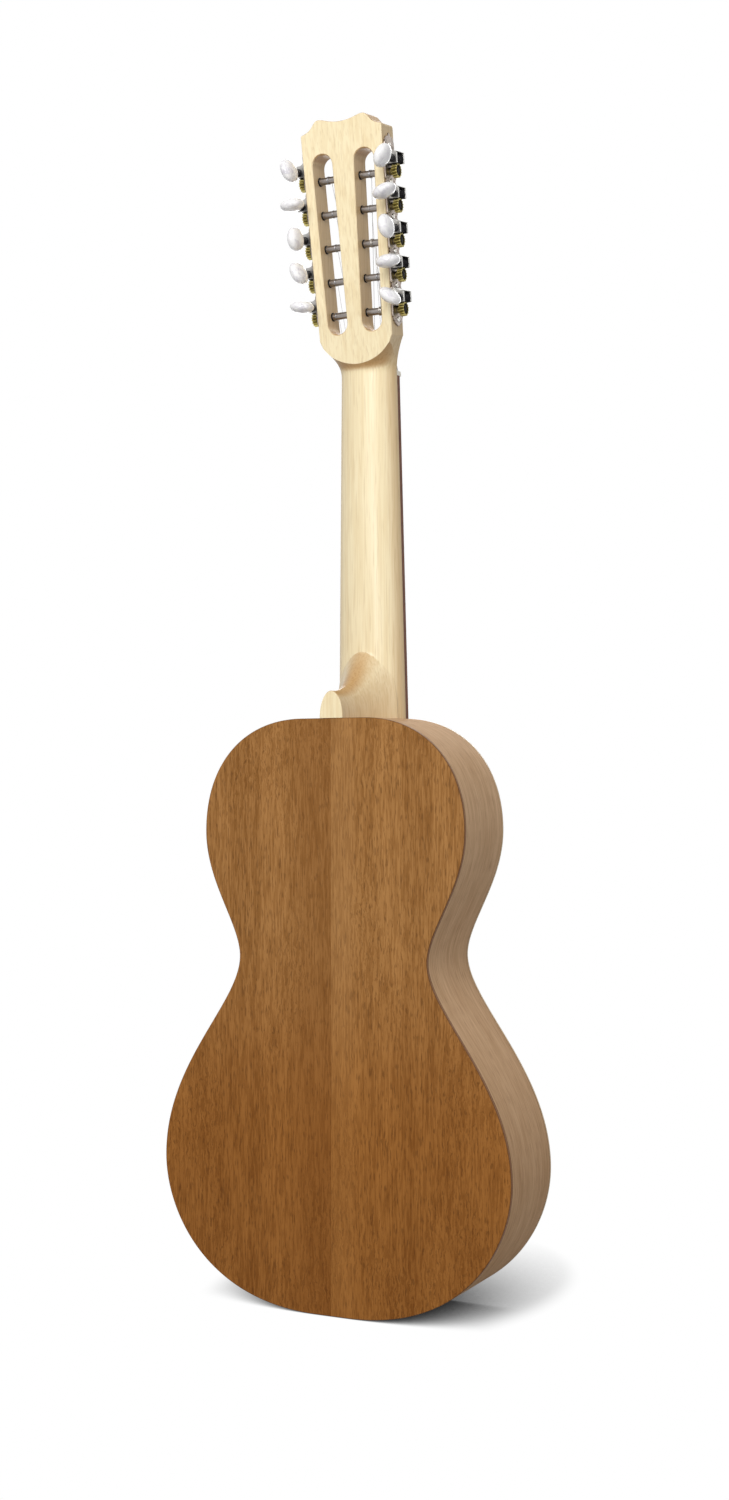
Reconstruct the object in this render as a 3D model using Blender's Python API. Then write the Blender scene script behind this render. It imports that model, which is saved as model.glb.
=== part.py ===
"""Viola da terra, the ten-string folk guitar of the Atlantic islands, as its separate pieces.

Units are metres. +Z runs up the neck, the soundboard faces -Y, the back faces +Y and the treble
side is +X. The origin is the middle of the tail end, where the instrument stands upright.
The body outline is four cubic curves for each half, the neck and the head are lofts and prisms
cut to each other, and each of the ten machine heads is a worm that turns a toothed wheel.
"""

import math

import bmesh
import bpy
from mathutils import Matrix, Vector

# Fits
GLUE_GAP = 0.0003
RUN_GAP = 0.0003
CUT_EXTRA = 0.004
SMOOTH_ANGLE = math.radians(32.0)

# Body outline, half widths from the centre line and heights from the tail
BODY_LENGTH = 0.450
LOWER_BOUT_HALF = 0.1466
LOWER_BOUT_Z = 0.1103
WAIST_HALF = 0.0797
WAIST_Z = 0.2675
UPPER_BOUT_HALF = 0.1104
UPPER_BOUT_DROP = 0.0857
TAIL_FLAT_HALF = 0.014
NECK_FLAT_HALF = 0.0262

# How far each curve of the outline runs straight out of its ends
TAIL_SWEEP = 0.0951
LOWER_BOUT_DOWN = 0.0463
LOWER_BOUT_UP = 0.0722
WAIST_DOWN = 0.0365
WAIST_UP = 0.0245
UPPER_BOUT_DOWN = 0.0406
UPPER_BOUT_UP = 0.0532
SHOULDER_SWEEP = 0.0496
OUTLINE_STEPS = 36
OUTLINE_SAMPLES = 60
STEP_LENGTH = 0.018
STEP_TURN = math.radians(9.0)

# Body depth and walls
TAIL_DEPTH = 0.0811
NECK_END_DEPTH = 0.0722
SOUNDBOARD_THICK = 0.0026
BACK_THICK = 0.0026
RIB_THICK = 0.0020
LINING_WIDTH = 0.0050
LINING_HEIGHT = 0.0120
NECK_BLOCK_HALF = 0.0290
NECK_BLOCK_HEIGHT = 0.0420
TAIL_BLOCK_HALF = 0.0270
TAIL_BLOCK_HEIGHT = 0.0180
TAIL_GRAFT_HALF = 0.0060
CENTRE_STRIP_HALF = 0.0090
CENTRE_STRIP_THICK = 0.0022
BRACE_WIDTH = 0.0070
BRACE_HEIGHT = 0.0120
BRACE_END_HEIGHT = 0.0045
BRACE_SCALLOP = 0.0320
SHOULDER_BRACE_DROP = 0.1100
BACK_SHOULDER_BRACE_DROP = 0.0900
SOUNDBOARD_BRACES = {"waist": 0.253, "lower": 0.115}
BACK_BRACES = {"waist": 0.262, "lower": 0.150}

# Two heart-shaped soundholes, lobes towards the centre line
HEART_Z = 0.303
HEART_X = 0.0262
HEART_LENGTH = 0.0400
HEART_WIDTH = 0.0380
HEART_STEPS = 22
HEART_WAVES = (13, -5, -2, -1)
HEART_SPAN = 29

# Scale and neck
SCALE_LENGTH = 0.540
FRETS_TO_BODY = 12
FRET_COUNT = 18
NECK_HALF_AT_NUT = 0.0235
NECK_HALF_AT_BODY = 0.0284
NECK_DEPTH_AT_NUT = 0.0185
NECK_DEPTH_AT_BODY = 0.0200
NECK_ROUND_STEPS = 14
FINGERBOARD_THICK = 0.0050
FINGERBOARD_TAIL = 0.0060
FRET_WIDTH = 0.0022
FRET_CROWN = 0.0009
FRET_HEIGHT = 0.0011
FRET_SINK = 0.0010
FRET_INSET = 0.0004
NUT_LENGTH = 0.0040
NUT_RISE = 0.0022

# Heel: an arched foot that runs from the neck's round back to the back plate
HEEL_HALF = 0.0098
HEEL_ARCH = 0.0205
HEEL_ROOT_HALF = 0.0265
HEEL_ROOT_ARCH = 0.0680
HEEL_ROOT_DEPTH = 0.0110
HEEL_SIDE_POWER = 2.4
HEEL_ARCH_POWER = 2.6
HEEL_LAYERS = 9
HEEL_CROWDING = 1.4
HEEL_STEPS = 12

# Head, in its own leaning frame: width from the centre line, height up the face from the nut
HEAD_ANGLE = math.radians(8.29)
HEAD_THICK = 0.0210
HEAD_HALF_LOW = 0.0309
HEAD_HALF_HIGH = 0.0349
HEAD_CORNER = 0.1884
HEAD_CORNER_ROUND = 0.0020
HEAD_PEAK = 0.1980
HEAD_PEAK_HALF = 0.0190
HEAD_DIP = 0.1947
CREST_FOOT = 0.1924
CREST_FOOT_HALF = 0.0260
CREST_HANDLES = (((0.38, 0.23), (0.72, 0.45)), ((0.29, 0.34), (0.49, 1.0)), ((0.24, 0.0), (0.47, 1.0)))
CREST_STEPS = (3, 4, 4)
SHOULDER_LOW = 0.0033
SHOULDER_HIGH = 0.0300
SHOULDER_ALLOWANCE = 0.0005
SHOULDER_POWER = 1.76
SHOULDER_STEPS = 6
HORN_HEIGHT = 0.0250
HORN_SIDE_FLARE = 0.00925
HORN_BACK_FLARE = 0.1010
HORN_SIDE_POWER = 2.18
HORN_BACK_POWER = 2.69
HORN_LAYERS = 7
HORN_TOP = 0.0400
SLOT_WIDTH = 0.0173
SLOT_LOW = 0.0342
SLOT_HIGH = 0.1721
SLOT_LOW_X = 0.0150
SLOT_HIGH_X = 0.0180
SLOT_ROUND_STEPS = 6
RAMP_START = 0.0200
RAMP_DEPTH = 0.0043

# Machine heads: five a side, each a worm over a toothed wheel on a string post
POSTS_PER_SIDE = 5
FIRST_POST = 0.0491
POST_PITCH = 0.0260
WHEEL_TEETH = 14
WHEEL_PITCH_RADIUS = 0.0050
WHEEL_ADDENDUM = 0.00064
WHEEL_DEDENDUM = 0.00085
WHEEL_WIDTH = 0.0044
WORM_PITCH_RADIUS = 0.0035
WORM_CREST_RADIUS = 0.0041
WORM_ROOT_RADIUS = 0.0026
WORM_TURNS = 3
WORM_MARGIN_TURNS = 1.5
WORM_STEPS = 8
FLANK_ANGLE = math.radians(20.0)
TOOTH_PLAY = 0.00025
MESH_PLANE = 0.0060
POST_RADIUS = 0.0028
POST_SINK = 0.0045
POST_SIDES = 8
POST_COLLAR_RADIUS = 0.0036
HUB_RADIUS = 0.0026
HUB_HEIGHT = 0.0012
PLATE_THICK = 0.0010
PLATE_HALF = 0.0092
PLATE_NOTCH = 0.0014
PLATE_NOTCH_HALF = 0.0028
PLATE_FOOT_DROP = 0.0076
PLATE_HEAD_RISE = 0.0191
PLATE_HEAD = ((0.0092, -0.0130), (0.0058, -0.0085), (0.0074, -0.0030), (0.0070, 0.0025),
              (0.0038, 0.0060), (0.0020, 0.0062))
PLATE_TIP = 0.0095
PLATE_FOOT = ((0.0030, -0.0040), (0.0066, -0.0015), (0.0092, 0.0035))
PLATE_FOOT_TIP = 0.0052
LUG_THICK = 0.0018
LUG_HALF = 0.0043
LUG_REACH = 0.0036
LUG_STEPS = 5
SHAFT_BORE_SIDES = 6
SHAFT_RADIUS = 0.0016
COLLAR_RADIUS = 0.0030
COLLAR_LENGTH = 0.0065
SHAFT_TAIL = 0.0010
THREAD_RUN_IN = 3

# Pearl buttons: an oval paddle on the end of the worm shaft
BUTTON_LENGTH = 0.0195
BUTTON_HALF_WIDTH = 0.0092
BUTTON_HALF_THICK = 0.0050
BUTTON_FULLNESS = 2.2
BUTTON_LAYERS = 6
BUTTON_SIDES = 8
BUTTON_END = 0.24
BUTTON_TURNS = {"treble": (80.0, 20.0, 0.0, 95.0, 15.0), "bass": (50.0, -82.0, 8.0, -65.0, -25.0)}

# Bridge, saddle and strings
BRIDGE_BLOCK_HALF = 0.0400
BRIDGE_BASE_THICK = 0.0040
BRIDGE_BASE_HALF = 0.0410
BRIDGE_WING_HALF = 0.0880
BRIDGE_WING_WAIST = 0.0600
WING_WAIST_LOW = -0.25
WING_WAIST_HIGH = 0.30
WING_TIP = 0.85
WING_HANDLES = (((0.15, 1.0), (0.70, 1.0)), ((0.55, -0.64), (1.0, -0.23)),
                ((0.20, 1.55), (0.59, 0.09)), ((0.30, 0.0), (0.85, 1.0)))
WING_STEPS = (3, 5, 4, 3)
BRIDGE_TAIL = 0.0175
BRIDGE_NOSE = 0.0055
TIE_BLOCK_LENGTH = 0.0100
TIE_BLOCK_HEIGHT = 0.0090
BRIDGE_FRONT_HEIGHT = 0.0072
CHANNEL_HEIGHT = 0.0042
SADDLE_HALF = 0.0350
SADDLE_THICK = 0.0022
SADDLE_SLOT_DEPTH = 0.0035
SADDLE_HEIGHT = 0.0112
SADDLE_SETBACK = 0.0015
STRING_HOLE_RADIUS = 0.0009
STRING_HOLE_HEIGHT = 0.0064
STRING_HOLE_SIDES = 6
STRING_DIAMETERS = {"treble": (0.00050, 0.00050, 0.00060, 0.00060, 0.00070),
                    "bass": (0.00110, 0.00060, 0.00090, 0.00055, 0.00070)}
STRING_TAIL = 0.0020
NUT_COURSE_PITCH = 0.00990
NUT_PAIR_HALF = 0.0011
BRIDGE_COURSE_PITCH = 0.0145
BRIDGE_PAIR_HALF = 0.0013
POST_LANES = (0.0050, 0.0030, 0.0002, -0.0015, -0.0002)

# Places that follow from the sizes above
FRONT_Y = -TAIL_DEPTH / 2
UPPER_BOUT_Z = BODY_LENGTH - UPPER_BOUT_DROP
DEPTH_SLOPE = (NECK_END_DEPTH - TAIL_DEPTH) / BODY_LENGTH
NUT_Z = BODY_LENGTH + SCALE_LENGTH * (1 - 2 ** (-FRETS_TO_BODY / 12))
SADDLE_Z = NUT_Z - SCALE_LENGTH - SADDLE_SETBACK
HEAD_SLOPE = math.atan((HEAD_HALF_HIGH - HEAD_HALF_LOW) / HEAD_CORNER)
WORM_LEAD = 2 * math.pi * WHEEL_PITCH_RADIUS / WHEEL_TEETH
MESH_DISTANCE = WHEEL_PITCH_RADIUS + WORM_PITCH_RADIUS
WORM_LENGTH = WORM_LEAD * (WORM_TURNS + WORM_MARGIN_TURNS)
LUG_INNER = WORM_LENGTH / 2 + RUN_GAP
SIDES = {"treble": 1, "bass": -1}


def finish(name, colour, roughness, metallic=0.0):
    """Make a plain material.

    Args:
        name: the material's name.
        colour: red, green and blue, 0 to 1.
        roughness: the surface's roughness.
        metallic: 1 for bare metal.

    Returns:
        The material.
    """
    material = bpy.data.materials.new(name)
    material.use_nodes = True
    shader = material.node_tree.nodes["Principled BSDF"]
    shader.inputs["Base Color"].default_value = (*colour, 1.0)
    shader.inputs["Roughness"].default_value = roughness
    shader.inputs["Metallic"].default_value = metallic
    material.diffuse_color = (*colour, 1.0)
    return material


def clear_scene():
    """Remove whatever the open file holds."""
    for old in list(bpy.data.objects):
        bpy.data.objects.remove(old, do_unlink=True)


def link(name, mesh, material=None, parent=None, location=(0.0, 0.0, 0.0), turn=(0.0, 0.0, 0.0)):
    """Put a mesh or an empty into the scene under a parent."""
    made = bpy.data.objects.new(name, mesh)
    bpy.context.scene.collection.objects.link(made)
    made.parent = parent
    made.location = location
    made.rotation_euler = turn
    if material is not None:
        made.data.materials.append(material)
    return made


def mesh_of(name, shape, smooth=True):
    """Turn a bmesh into a mesh with its normals out and its round faces smooth."""
    bmesh.ops.recalc_face_normals(shape, faces=shape.faces)
    mesh = bpy.data.meshes.new(name)
    shape.to_mesh(mesh)
    shape.free()
    if smooth:
        mesh.shade_smooth()
        mesh.set_sharp_from_angle(angle=SMOOTH_ANGLE)
    return mesh


def helper(made):
    """Mark an object as a cutter or a guide that is no piece of the instrument."""
    made.hide_render = True
    made.display_type = "WIRE"
    return made


def boolean(target, other, operation):
    """Cut, join or trim a piece by a helper object."""
    helper(other)
    modifier = target.modifiers.new(f"{operation.lower()}_{other.name}", "BOOLEAN")
    modifier.object = other
    modifier.operation = operation


def loft(rings, closed_ends=True):
    """Skin a list of rings that have equally many points.

    Args:
        rings: lists of points, each ring in the same order.
        closed_ends: whether the first and last ring are capped.

    Returns:
        A bmesh of the skin.
    """
    shape = bmesh.new()
    rows = [[shape.verts.new(point) for point in ring] for ring in rings]
    count = len(rows[0])
    for low, high in zip(rows, rows[1:]):
        for i in range(count):
            j = (i + 1) % count
            shape.faces.new((low[i], low[j], high[j], high[i]))
    if closed_ends:
        shape.faces.new(rows[0])
        shape.faces.new(rows[-1])
    return shape


def add_loft(shape, rings):
    """Add a capped skin of rings to a bmesh that may hold other bodies."""
    part = loft(rings)
    mesh = bpy.data.meshes.new("loft_part")
    part.to_mesh(mesh)
    part.free()
    shape.from_mesh(mesh)
    bpy.data.meshes.remove(mesh)


def circle(centre, radius, sides, across, up, turn=0.0):
    """Points of a circle that starts on one direction and runs towards another."""
    points = []
    for i in range(sides):
        angle = turn + 2 * math.pi * i / sides
        points.append(Vector(centre) + Vector(across) * radius * math.cos(angle)
                      + Vector(up) * radius * math.sin(angle))
    return points


def bezier(start, leave, arrive, end, t):
    """A point of a cubic curve in the plane."""
    weights = ((1 - t) ** 3, 3 * (1 - t) ** 2 * t, 3 * (1 - t) * t ** 2, t ** 3)
    points = (start, leave, arrive, end)
    return tuple(sum(w * p[axis] for w, p in zip(weights, points)) for axis in (0, 1))


def between(start, end, shares):
    """The point at given shares of the way from one point to another, across and along."""
    return tuple(s + share * (e - s) for s, e, share in zip(start, end, shares))


def chain(stations, handles, steps):
    """Points along cubic curves that run from station to station.

    Args:
        stations: the points where the curves meet.
        handles: for each curve, its two handles as shares of the way across and along.
        steps: how many points each curve gives.

    Returns:
        The points, with the last station at the end.
    """
    points = []
    for start, end, (leave, arrive), count in zip(stations, stations[1:], handles, steps):
        curve = (start, between(start, end, leave), between(start, end, arrive), end)
        points += [bezier(*curve, i / count) for i in range(count)]
    return [*points, stations[-1]]


def outline_curves():
    """The cubic curves of one half of the body, from the neck end down to the tail."""
    neck = (NECK_FLAT_HALF, BODY_LENGTH)
    upper = (UPPER_BOUT_HALF, UPPER_BOUT_Z)
    waist = (WAIST_HALF, WAIST_Z)
    lower = (LOWER_BOUT_HALF, LOWER_BOUT_Z)
    tail = (TAIL_FLAT_HALF, 0.0)
    return (
        (neck, (NECK_FLAT_HALF + SHOULDER_SWEEP, BODY_LENGTH),
         (UPPER_BOUT_HALF, UPPER_BOUT_Z + UPPER_BOUT_UP), upper),
        (upper, (UPPER_BOUT_HALF, UPPER_BOUT_Z - UPPER_BOUT_DOWN),
         (WAIST_HALF, WAIST_Z + WAIST_UP), waist),
        (waist, (WAIST_HALF, WAIST_Z - WAIST_DOWN),
         (LOWER_BOUT_HALF, LOWER_BOUT_Z + LOWER_BOUT_UP), lower),
        (lower, (LOWER_BOUT_HALF, LOWER_BOUT_Z - LOWER_BOUT_DOWN),
         (TAIL_FLAT_HALF + TAIL_SWEEP, 0.0), tail),
    )


def half_outline():
    """Points of one half from the centre of the neck end to the centre of the tail.

    The points lie closer where the outline turns more, so that the waist is as smooth as the bouts.
    """
    dense = []
    for curve in outline_curves():
        dense += [bezier(*curve, i / OUTLINE_SAMPLES) for i in range(OUTLINE_SAMPLES)]
    dense.append(outline_curves()[-1][-1])
    weight = [0.0]
    heading = None
    for (x0, z0), (x1, z1) in zip(dense, dense[1:]):
        turned = math.atan2(z1 - z0, x1 - x0)
        bend = 0.0 if heading is None else abs(math.remainder(turned - heading, 2 * math.pi))
        heading = turned
        weight.append(weight[-1] + math.hypot(x1 - x0, z1 - z0) / STEP_LENGTH + bend / STEP_TURN)
    points = [(0.0, BODY_LENGTH)]
    place = 0
    for step in range(OUTLINE_STEPS + 1):
        wanted = weight[-1] * step / OUTLINE_STEPS
        while place < len(weight) - 2 and weight[place + 1] < wanted:
            place += 1
        share = (wanted - weight[place]) / (weight[place + 1] - weight[place])
        (x0, z0), (x1, z1) = dense[place], dense[place + 1]
        points.append((x0 + share * (x1 - x0), z0 + share * (z1 - z0)))
    points.append((0.0, 0.0))
    return points


HALF = half_outline()


def inset(distance):
    """The half outline moved inwards, point by point, so that it keeps its step in every wall."""
    moved = [(0.0, BODY_LENGTH - distance)]
    for before, here, after in zip(HALF, HALF[1:], HALF[2:]):
        one = Vector((here[0] - before[0], here[1] - before[1])).normalized()
        two = Vector((after[0] - here[0], after[1] - here[1])).normalized()
        normal = Vector((one.y + two.y, -one.x - two.x)).normalized()
        reach = distance / max(normal.dot(Vector((one.y, -one.x))), 0.5)
        moved.append((here[0] + normal.x * reach, here[1] + normal.y * reach))
    moved.append((0.0, distance))
    return moved


def back_y(z):
    """Where the back's outer face lies at a height."""
    return FRONT_Y + TAIL_DEPTH + DEPTH_SLOPE * z


def inner_low(z):
    """The y of the soundboard's inner face, with the glue gap."""
    return FRONT_Y + SOUNDBOARD_THICK + GLUE_GAP


def inner_high(z):
    """The y of the back's inner face, with the glue gap."""
    return back_y(z) - BACK_THICK - GLUE_GAP


def prism(points, low, high):
    """Extrude a closed outline in the XZ plane between two faces given as functions of z."""
    return loft([[(x, low(z), z) for x, z in points], [(x, high(z), z) for x, z in points]])


def wall(outer, inner, low, high):
    """A strip of wall between two open lines of points, from one face to another."""
    rings = [[(x0, low(z0), z0), (x0, high(z0), z0), (x1, high(z1), z1), (x1, low(z1), z1)]
             for (x0, z0), (x1, z1) in zip(outer, inner)]
    return loft(rings)


def side_of(points, sign):
    """The same points on the treble side or, mirrored, on the bass side."""
    return [(sign * x, z) for x, z in points]


def on_line(one, two, x):
    """The point between two points at a given x."""
    share = (x - one[0]) / (two[0] - one[0])
    return (x, one[1] + share * (two[1] - one[1]))


def span_beyond(points, neck_half, tail_half):
    """The part of a half line that lies further out than a half width at either end."""
    middle = len(points) // 2
    top = max(i for i in range(middle) if points[i][0] < neck_half)
    foot = min(i for i in range(middle, len(points)) if points[i][0] < tail_half)
    start = on_line(points[top], points[top + 1], neck_half)
    end = on_line(points[foot], points[foot - 1], tail_half)
    return [start, *points[top + 1:foot], end]


def wall_between(outer_inset, inner_inset, neck_half, tail_half, low, high, sign):
    """A wall that follows the outline at two depths and stops short of the centre line."""
    outer, inner = inset(outer_inset), inset(inner_inset)
    outer[0], inner[0] = (neck_half, outer[0][1]), (neck_half, inner[0][1])
    outer[-1], inner[-1] = (tail_half, outer[-1][1]), (tail_half, inner[-1][1])
    return wall(side_of(outer, sign), side_of(inner, sign), low, high)


def build_ribs(wood):
    """The two bent sides, which meet behind the heel and stop at the tail graft."""
    for side, sign in SIDES.items():
        shape = wall_between(0.0, RIB_THICK, GLUE_GAP / 2, TAIL_GRAFT_HALF + GLUE_GAP,
                             inner_low, inner_high, sign)
        link(f"rib_{side}", mesh_of(f"rib_{side}", shape), wood)


def build_tail_graft(wood):
    """The inlaid strip that closes the joint of the ribs at the tail."""
    half = TAIL_GRAFT_HALF
    points = [(-half, 0.0), (half, 0.0), (half, RIB_THICK), (-half, RIB_THICK)]
    link("tail_graft", mesh_of("tail_graft", prism(points, inner_low, inner_high)), wood)


def heart(sign):
    """A heart on its side, lobes towards the centre line and tip outwards."""
    points = []
    for step in range(HEART_STEPS):
        turn = 2 * math.pi * step / HEART_STEPS
        across = math.sin(turn) ** 3
        along = sum(wave * math.cos((i + 1) * turn) for i, wave in enumerate(HEART_WAVES))
        points.append((sign * (HEART_X - along * HEART_LENGTH / HEART_SPAN),
                       HEART_Z + across * HEART_WIDTH / 2))
    return points


def build_soundboard(wood):
    """The flat top with its two hearts."""
    half = HALF[1:-1]
    points = [*half, *[(-x, z) for x, z in reversed(half)]]
    front, inner = (lambda z: FRONT_Y), (lambda z: FRONT_Y + SOUNDBOARD_THICK)
    top = link("soundboard", mesh_of("soundboard", prism(points, front, inner)), wood)
    for side, sign in SIDES.items():
        hole = prism(heart(sign), lambda z: FRONT_Y - CUT_EXTRA,
                     lambda z: FRONT_Y + SOUNDBOARD_THICK + CUT_EXTRA)
        boolean(top, link(f"cut_heart_{side}", mesh_of(f"cut_heart_{side}", hole)), "DIFFERENCE")


def build_back(wood):
    """The two book-matched halves of the back, joined on the centre line."""
    for side, sign in SIDES.items():
        edge = GLUE_GAP / 2
        points = side_of([(edge, BODY_LENGTH), *HALF[1:-1], (edge, 0.0)], sign)
        shape = prism(points, lambda z: back_y(z) - BACK_THICK, back_y)
        link(f"back_{side}", mesh_of(f"back_{side}", shape), wood)


def build_linings(wood):
    """Strips inside the ribs' edges that give the soundboard and the back their glue faces."""
    outer, inner = RIB_THICK + GLUE_GAP, RIB_THICK + GLUE_GAP + LINING_WIDTH
    neck_half, tail_half = NECK_BLOCK_HALF + GLUE_GAP, TAIL_BLOCK_HALF + GLUE_GAP
    plates = {"soundboard": (inner_low, lambda z: inner_low(z) + LINING_HEIGHT),
              "back": (lambda z: inner_high(z) - LINING_HEIGHT, inner_high)}
    for plate, (low, high) in plates.items():
        for side, sign in SIDES.items():
            rim = side_of(span_beyond(inset(outer), neck_half, tail_half), sign)
            line = side_of(span_beyond(inset(inner), neck_half, tail_half), sign)
            stations = min(len(rim), len(line))
            name = f"{plate}_lining_{side}"
            link(name, mesh_of(name, wall(rim[:stations], line[:stations], low, high)), wood)


def block_points(half_width, height, at_neck):
    """The outline of an end block whose outer face follows the ribs."""
    line = inset(RIB_THICK + GLUE_GAP)
    if not at_neck:
        line = line[::-1]
    edge = [line[0]]
    while line[len(edge)][0] < half_width:
        edge.append(line[len(edge)])
    edge.append(on_line(edge[-1], line[len(edge)], half_width))
    deep = line[0][1] + (-height if at_neck else height)
    half = [*edge[1:], (half_width, deep)]
    return [*half, *[(-x, z) for x, z in reversed(half)]]


def build_blocks(wood):
    """The blocks inside the neck end and the tail end."""
    blocks = {"neck_block": (NECK_BLOCK_HALF, NECK_BLOCK_HEIGHT, True),
              "tail_block": (TAIL_BLOCK_HALF, TAIL_BLOCK_HEIGHT, False)}
    for name, size in blocks.items():
        shape = prism(block_points(*size), inner_low, inner_high)
        link(name, mesh_of(name, shape), wood)


def room_at(z):
    """Half the width between the linings at a height, over the width of a brace."""
    line = inset(RIB_THICK + GLUE_GAP + LINING_WIDTH + GLUE_GAP)
    found = []
    for one, two in zip(line, line[1:]):
        for level in (z - BRACE_WIDTH / 2, z, z + BRACE_WIDTH / 2):
            if min(one[1], two[1]) <= level <= max(one[1], two[1]) and one[1] != two[1]:
                share = (level - one[1]) / (two[1] - one[1])
                found.append(one[0] + share * (two[0] - one[0]))
    return min(found) - GLUE_GAP


def brace(z, plate_y, inwards):
    """A bar across the body, tall in the middle and scooped down at its ends."""
    half = room_at(z)
    profile = [(-half, 0.0), (-half, BRACE_END_HEIGHT), (-half + BRACE_SCALLOP, BRACE_HEIGHT),
               (half - BRACE_SCALLOP, BRACE_HEIGHT), (half, BRACE_END_HEIGHT), (half, 0.0)]
    return loft([[(x, plate_y(level) + inwards * rise, level) for x, rise in profile]
                 for level in (z - BRACE_WIDTH / 2, z + BRACE_WIDTH / 2)])


def strip_box(gap):
    """The rings of the back's centre strip, grown by a gap on its free faces."""
    half = CENTRE_STRIP_HALF + gap
    low = RIB_THICK + GLUE_GAP + TAIL_BLOCK_HEIGHT + GLUE_GAP - gap
    high = BODY_LENGTH - RIB_THICK - GLUE_GAP - NECK_BLOCK_HEIGHT - GLUE_GAP + gap
    return [[(-half, inner_high(z) - CENTRE_STRIP_THICK - gap, z),
             (half, inner_high(z) - CENTRE_STRIP_THICK - gap, z),
             (half, inner_high(z) + gap, z), (-half, inner_high(z) + gap, z)]
            for z in (low, high)]


def build_braces(wood):
    """Ladder braces under the soundboard and on the back, and the strip over the back's joint."""
    front_bars = {"shoulder": BODY_LENGTH - SHOULDER_BRACE_DROP, **SOUNDBOARD_BRACES}
    back_bars = {"shoulder": BODY_LENGTH - BACK_SHOULDER_BRACE_DROP, **BACK_BRACES}
    for place, z in front_bars.items():
        name = f"soundboard_brace_{place}"
        link(name, mesh_of(name, brace(z, inner_low, 1)), wood)
    link("back_centre_strip", mesh_of("back_centre_strip", loft(strip_box(0.0))), wood)
    notch = link("cut_strip_notch", mesh_of("cut_strip_notch", loft(strip_box(GLUE_GAP))))
    for place, z in back_bars.items():
        name = f"back_brace_{place}"
        bar = link(name, mesh_of(name, brace(z, inner_high, -1)), wood)
        boolean(bar, notch, "DIFFERENCE")


def neck_half(z):
    """Half the neck's width at a height."""
    share = (z - BODY_LENGTH) / (NUT_Z - BODY_LENGTH)
    return NECK_HALF_AT_BODY + share * (NECK_HALF_AT_NUT - NECK_HALF_AT_BODY)


def neck_depth(z):
    """How far the neck's round back stands behind its flat front at a height."""
    share = (z - BODY_LENGTH) / (NUT_Z - BODY_LENGTH)
    return NECK_DEPTH_AT_BODY + share * (NECK_DEPTH_AT_NUT - NECK_DEPTH_AT_BODY)


def round_back(half, depth, z, front=0.0):
    """A D-shaped ring: flat in front and a half ellipse behind."""
    ring = []
    for i in range(NECK_ROUND_STEPS + 1):
        turn = math.pi * i / NECK_ROUND_STEPS
        ring.append((half * math.cos(turn), FRONT_Y + depth * math.sin(turn), z))
    if front:
        ring += [(-half, FRONT_Y - front, z), (half, FRONT_Y - front, z)]
    return ring


def heel_layer(share):
    """One arch of the heel, from the root inside the neck (0) to the foot at the back (1)."""
    foot_depth = back_y(BODY_LENGTH) - FRONT_Y
    depth = HEEL_ROOT_DEPTH + share * (foot_depth - HEEL_ROOT_DEPTH)
    side = (1 - share) ** HEEL_SIDE_POWER
    rise = (1 - share) ** HEEL_ARCH_POWER
    half = HEEL_HALF + side * (HEEL_ROOT_HALF - HEEL_HALF)
    arch = HEEL_ARCH + rise * (HEEL_ROOT_ARCH - HEEL_ARCH)
    ring = [(half, BODY_LENGTH - CUT_EXTRA)]
    for i in range(HEEL_STEPS + 1):
        turn = math.pi * i / HEEL_STEPS
        ring.append((half * math.cos(turn), BODY_LENGTH + GLUE_GAP + arch * math.sin(turn)))
    ring.append((-half, BODY_LENGTH - CUT_EXTRA))
    lean = share * DEPTH_SLOPE
    return [(x, FRONT_Y + depth + lean * (z - BODY_LENGTH), z) for x, z in ring]


def build_neck(wood):
    """The round-backed neck with the heel carved on it."""
    low, high = BODY_LENGTH - CUT_EXTRA, NUT_Z - GLUE_GAP / 2
    rings = [round_back(neck_half(z), neck_depth(z), z) for z in (low, high)]
    neck = link("neck", mesh_of("neck", loft(rings)), wood)
    layers = [heel_layer((i / HEEL_LAYERS) ** HEEL_CROWDING) for i in range(HEEL_LAYERS + 1)]
    boolean(neck, link("join_heel", mesh_of("join_heel", loft(layers))), "UNION")
    reach, depth = UPPER_BOUT_HALF, TAIL_DEPTH
    end = [(-reach, low - CUT_EXTRA), (reach, low - CUT_EXTRA),
           (reach, BODY_LENGTH + GLUE_GAP), (-reach, BODY_LENGTH + GLUE_GAP)]
    trim = prism(end, lambda z: FRONT_Y - depth, lambda z: FRONT_Y + 2 * depth)
    boolean(neck, link("cut_neck_end", mesh_of("cut_neck_end", trim)), "DIFFERENCE")


def fret_z(number):
    """The height of a fret's crown."""
    return NUT_Z - SCALE_LENGTH * (1 - 2 ** (-number / 12))


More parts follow.
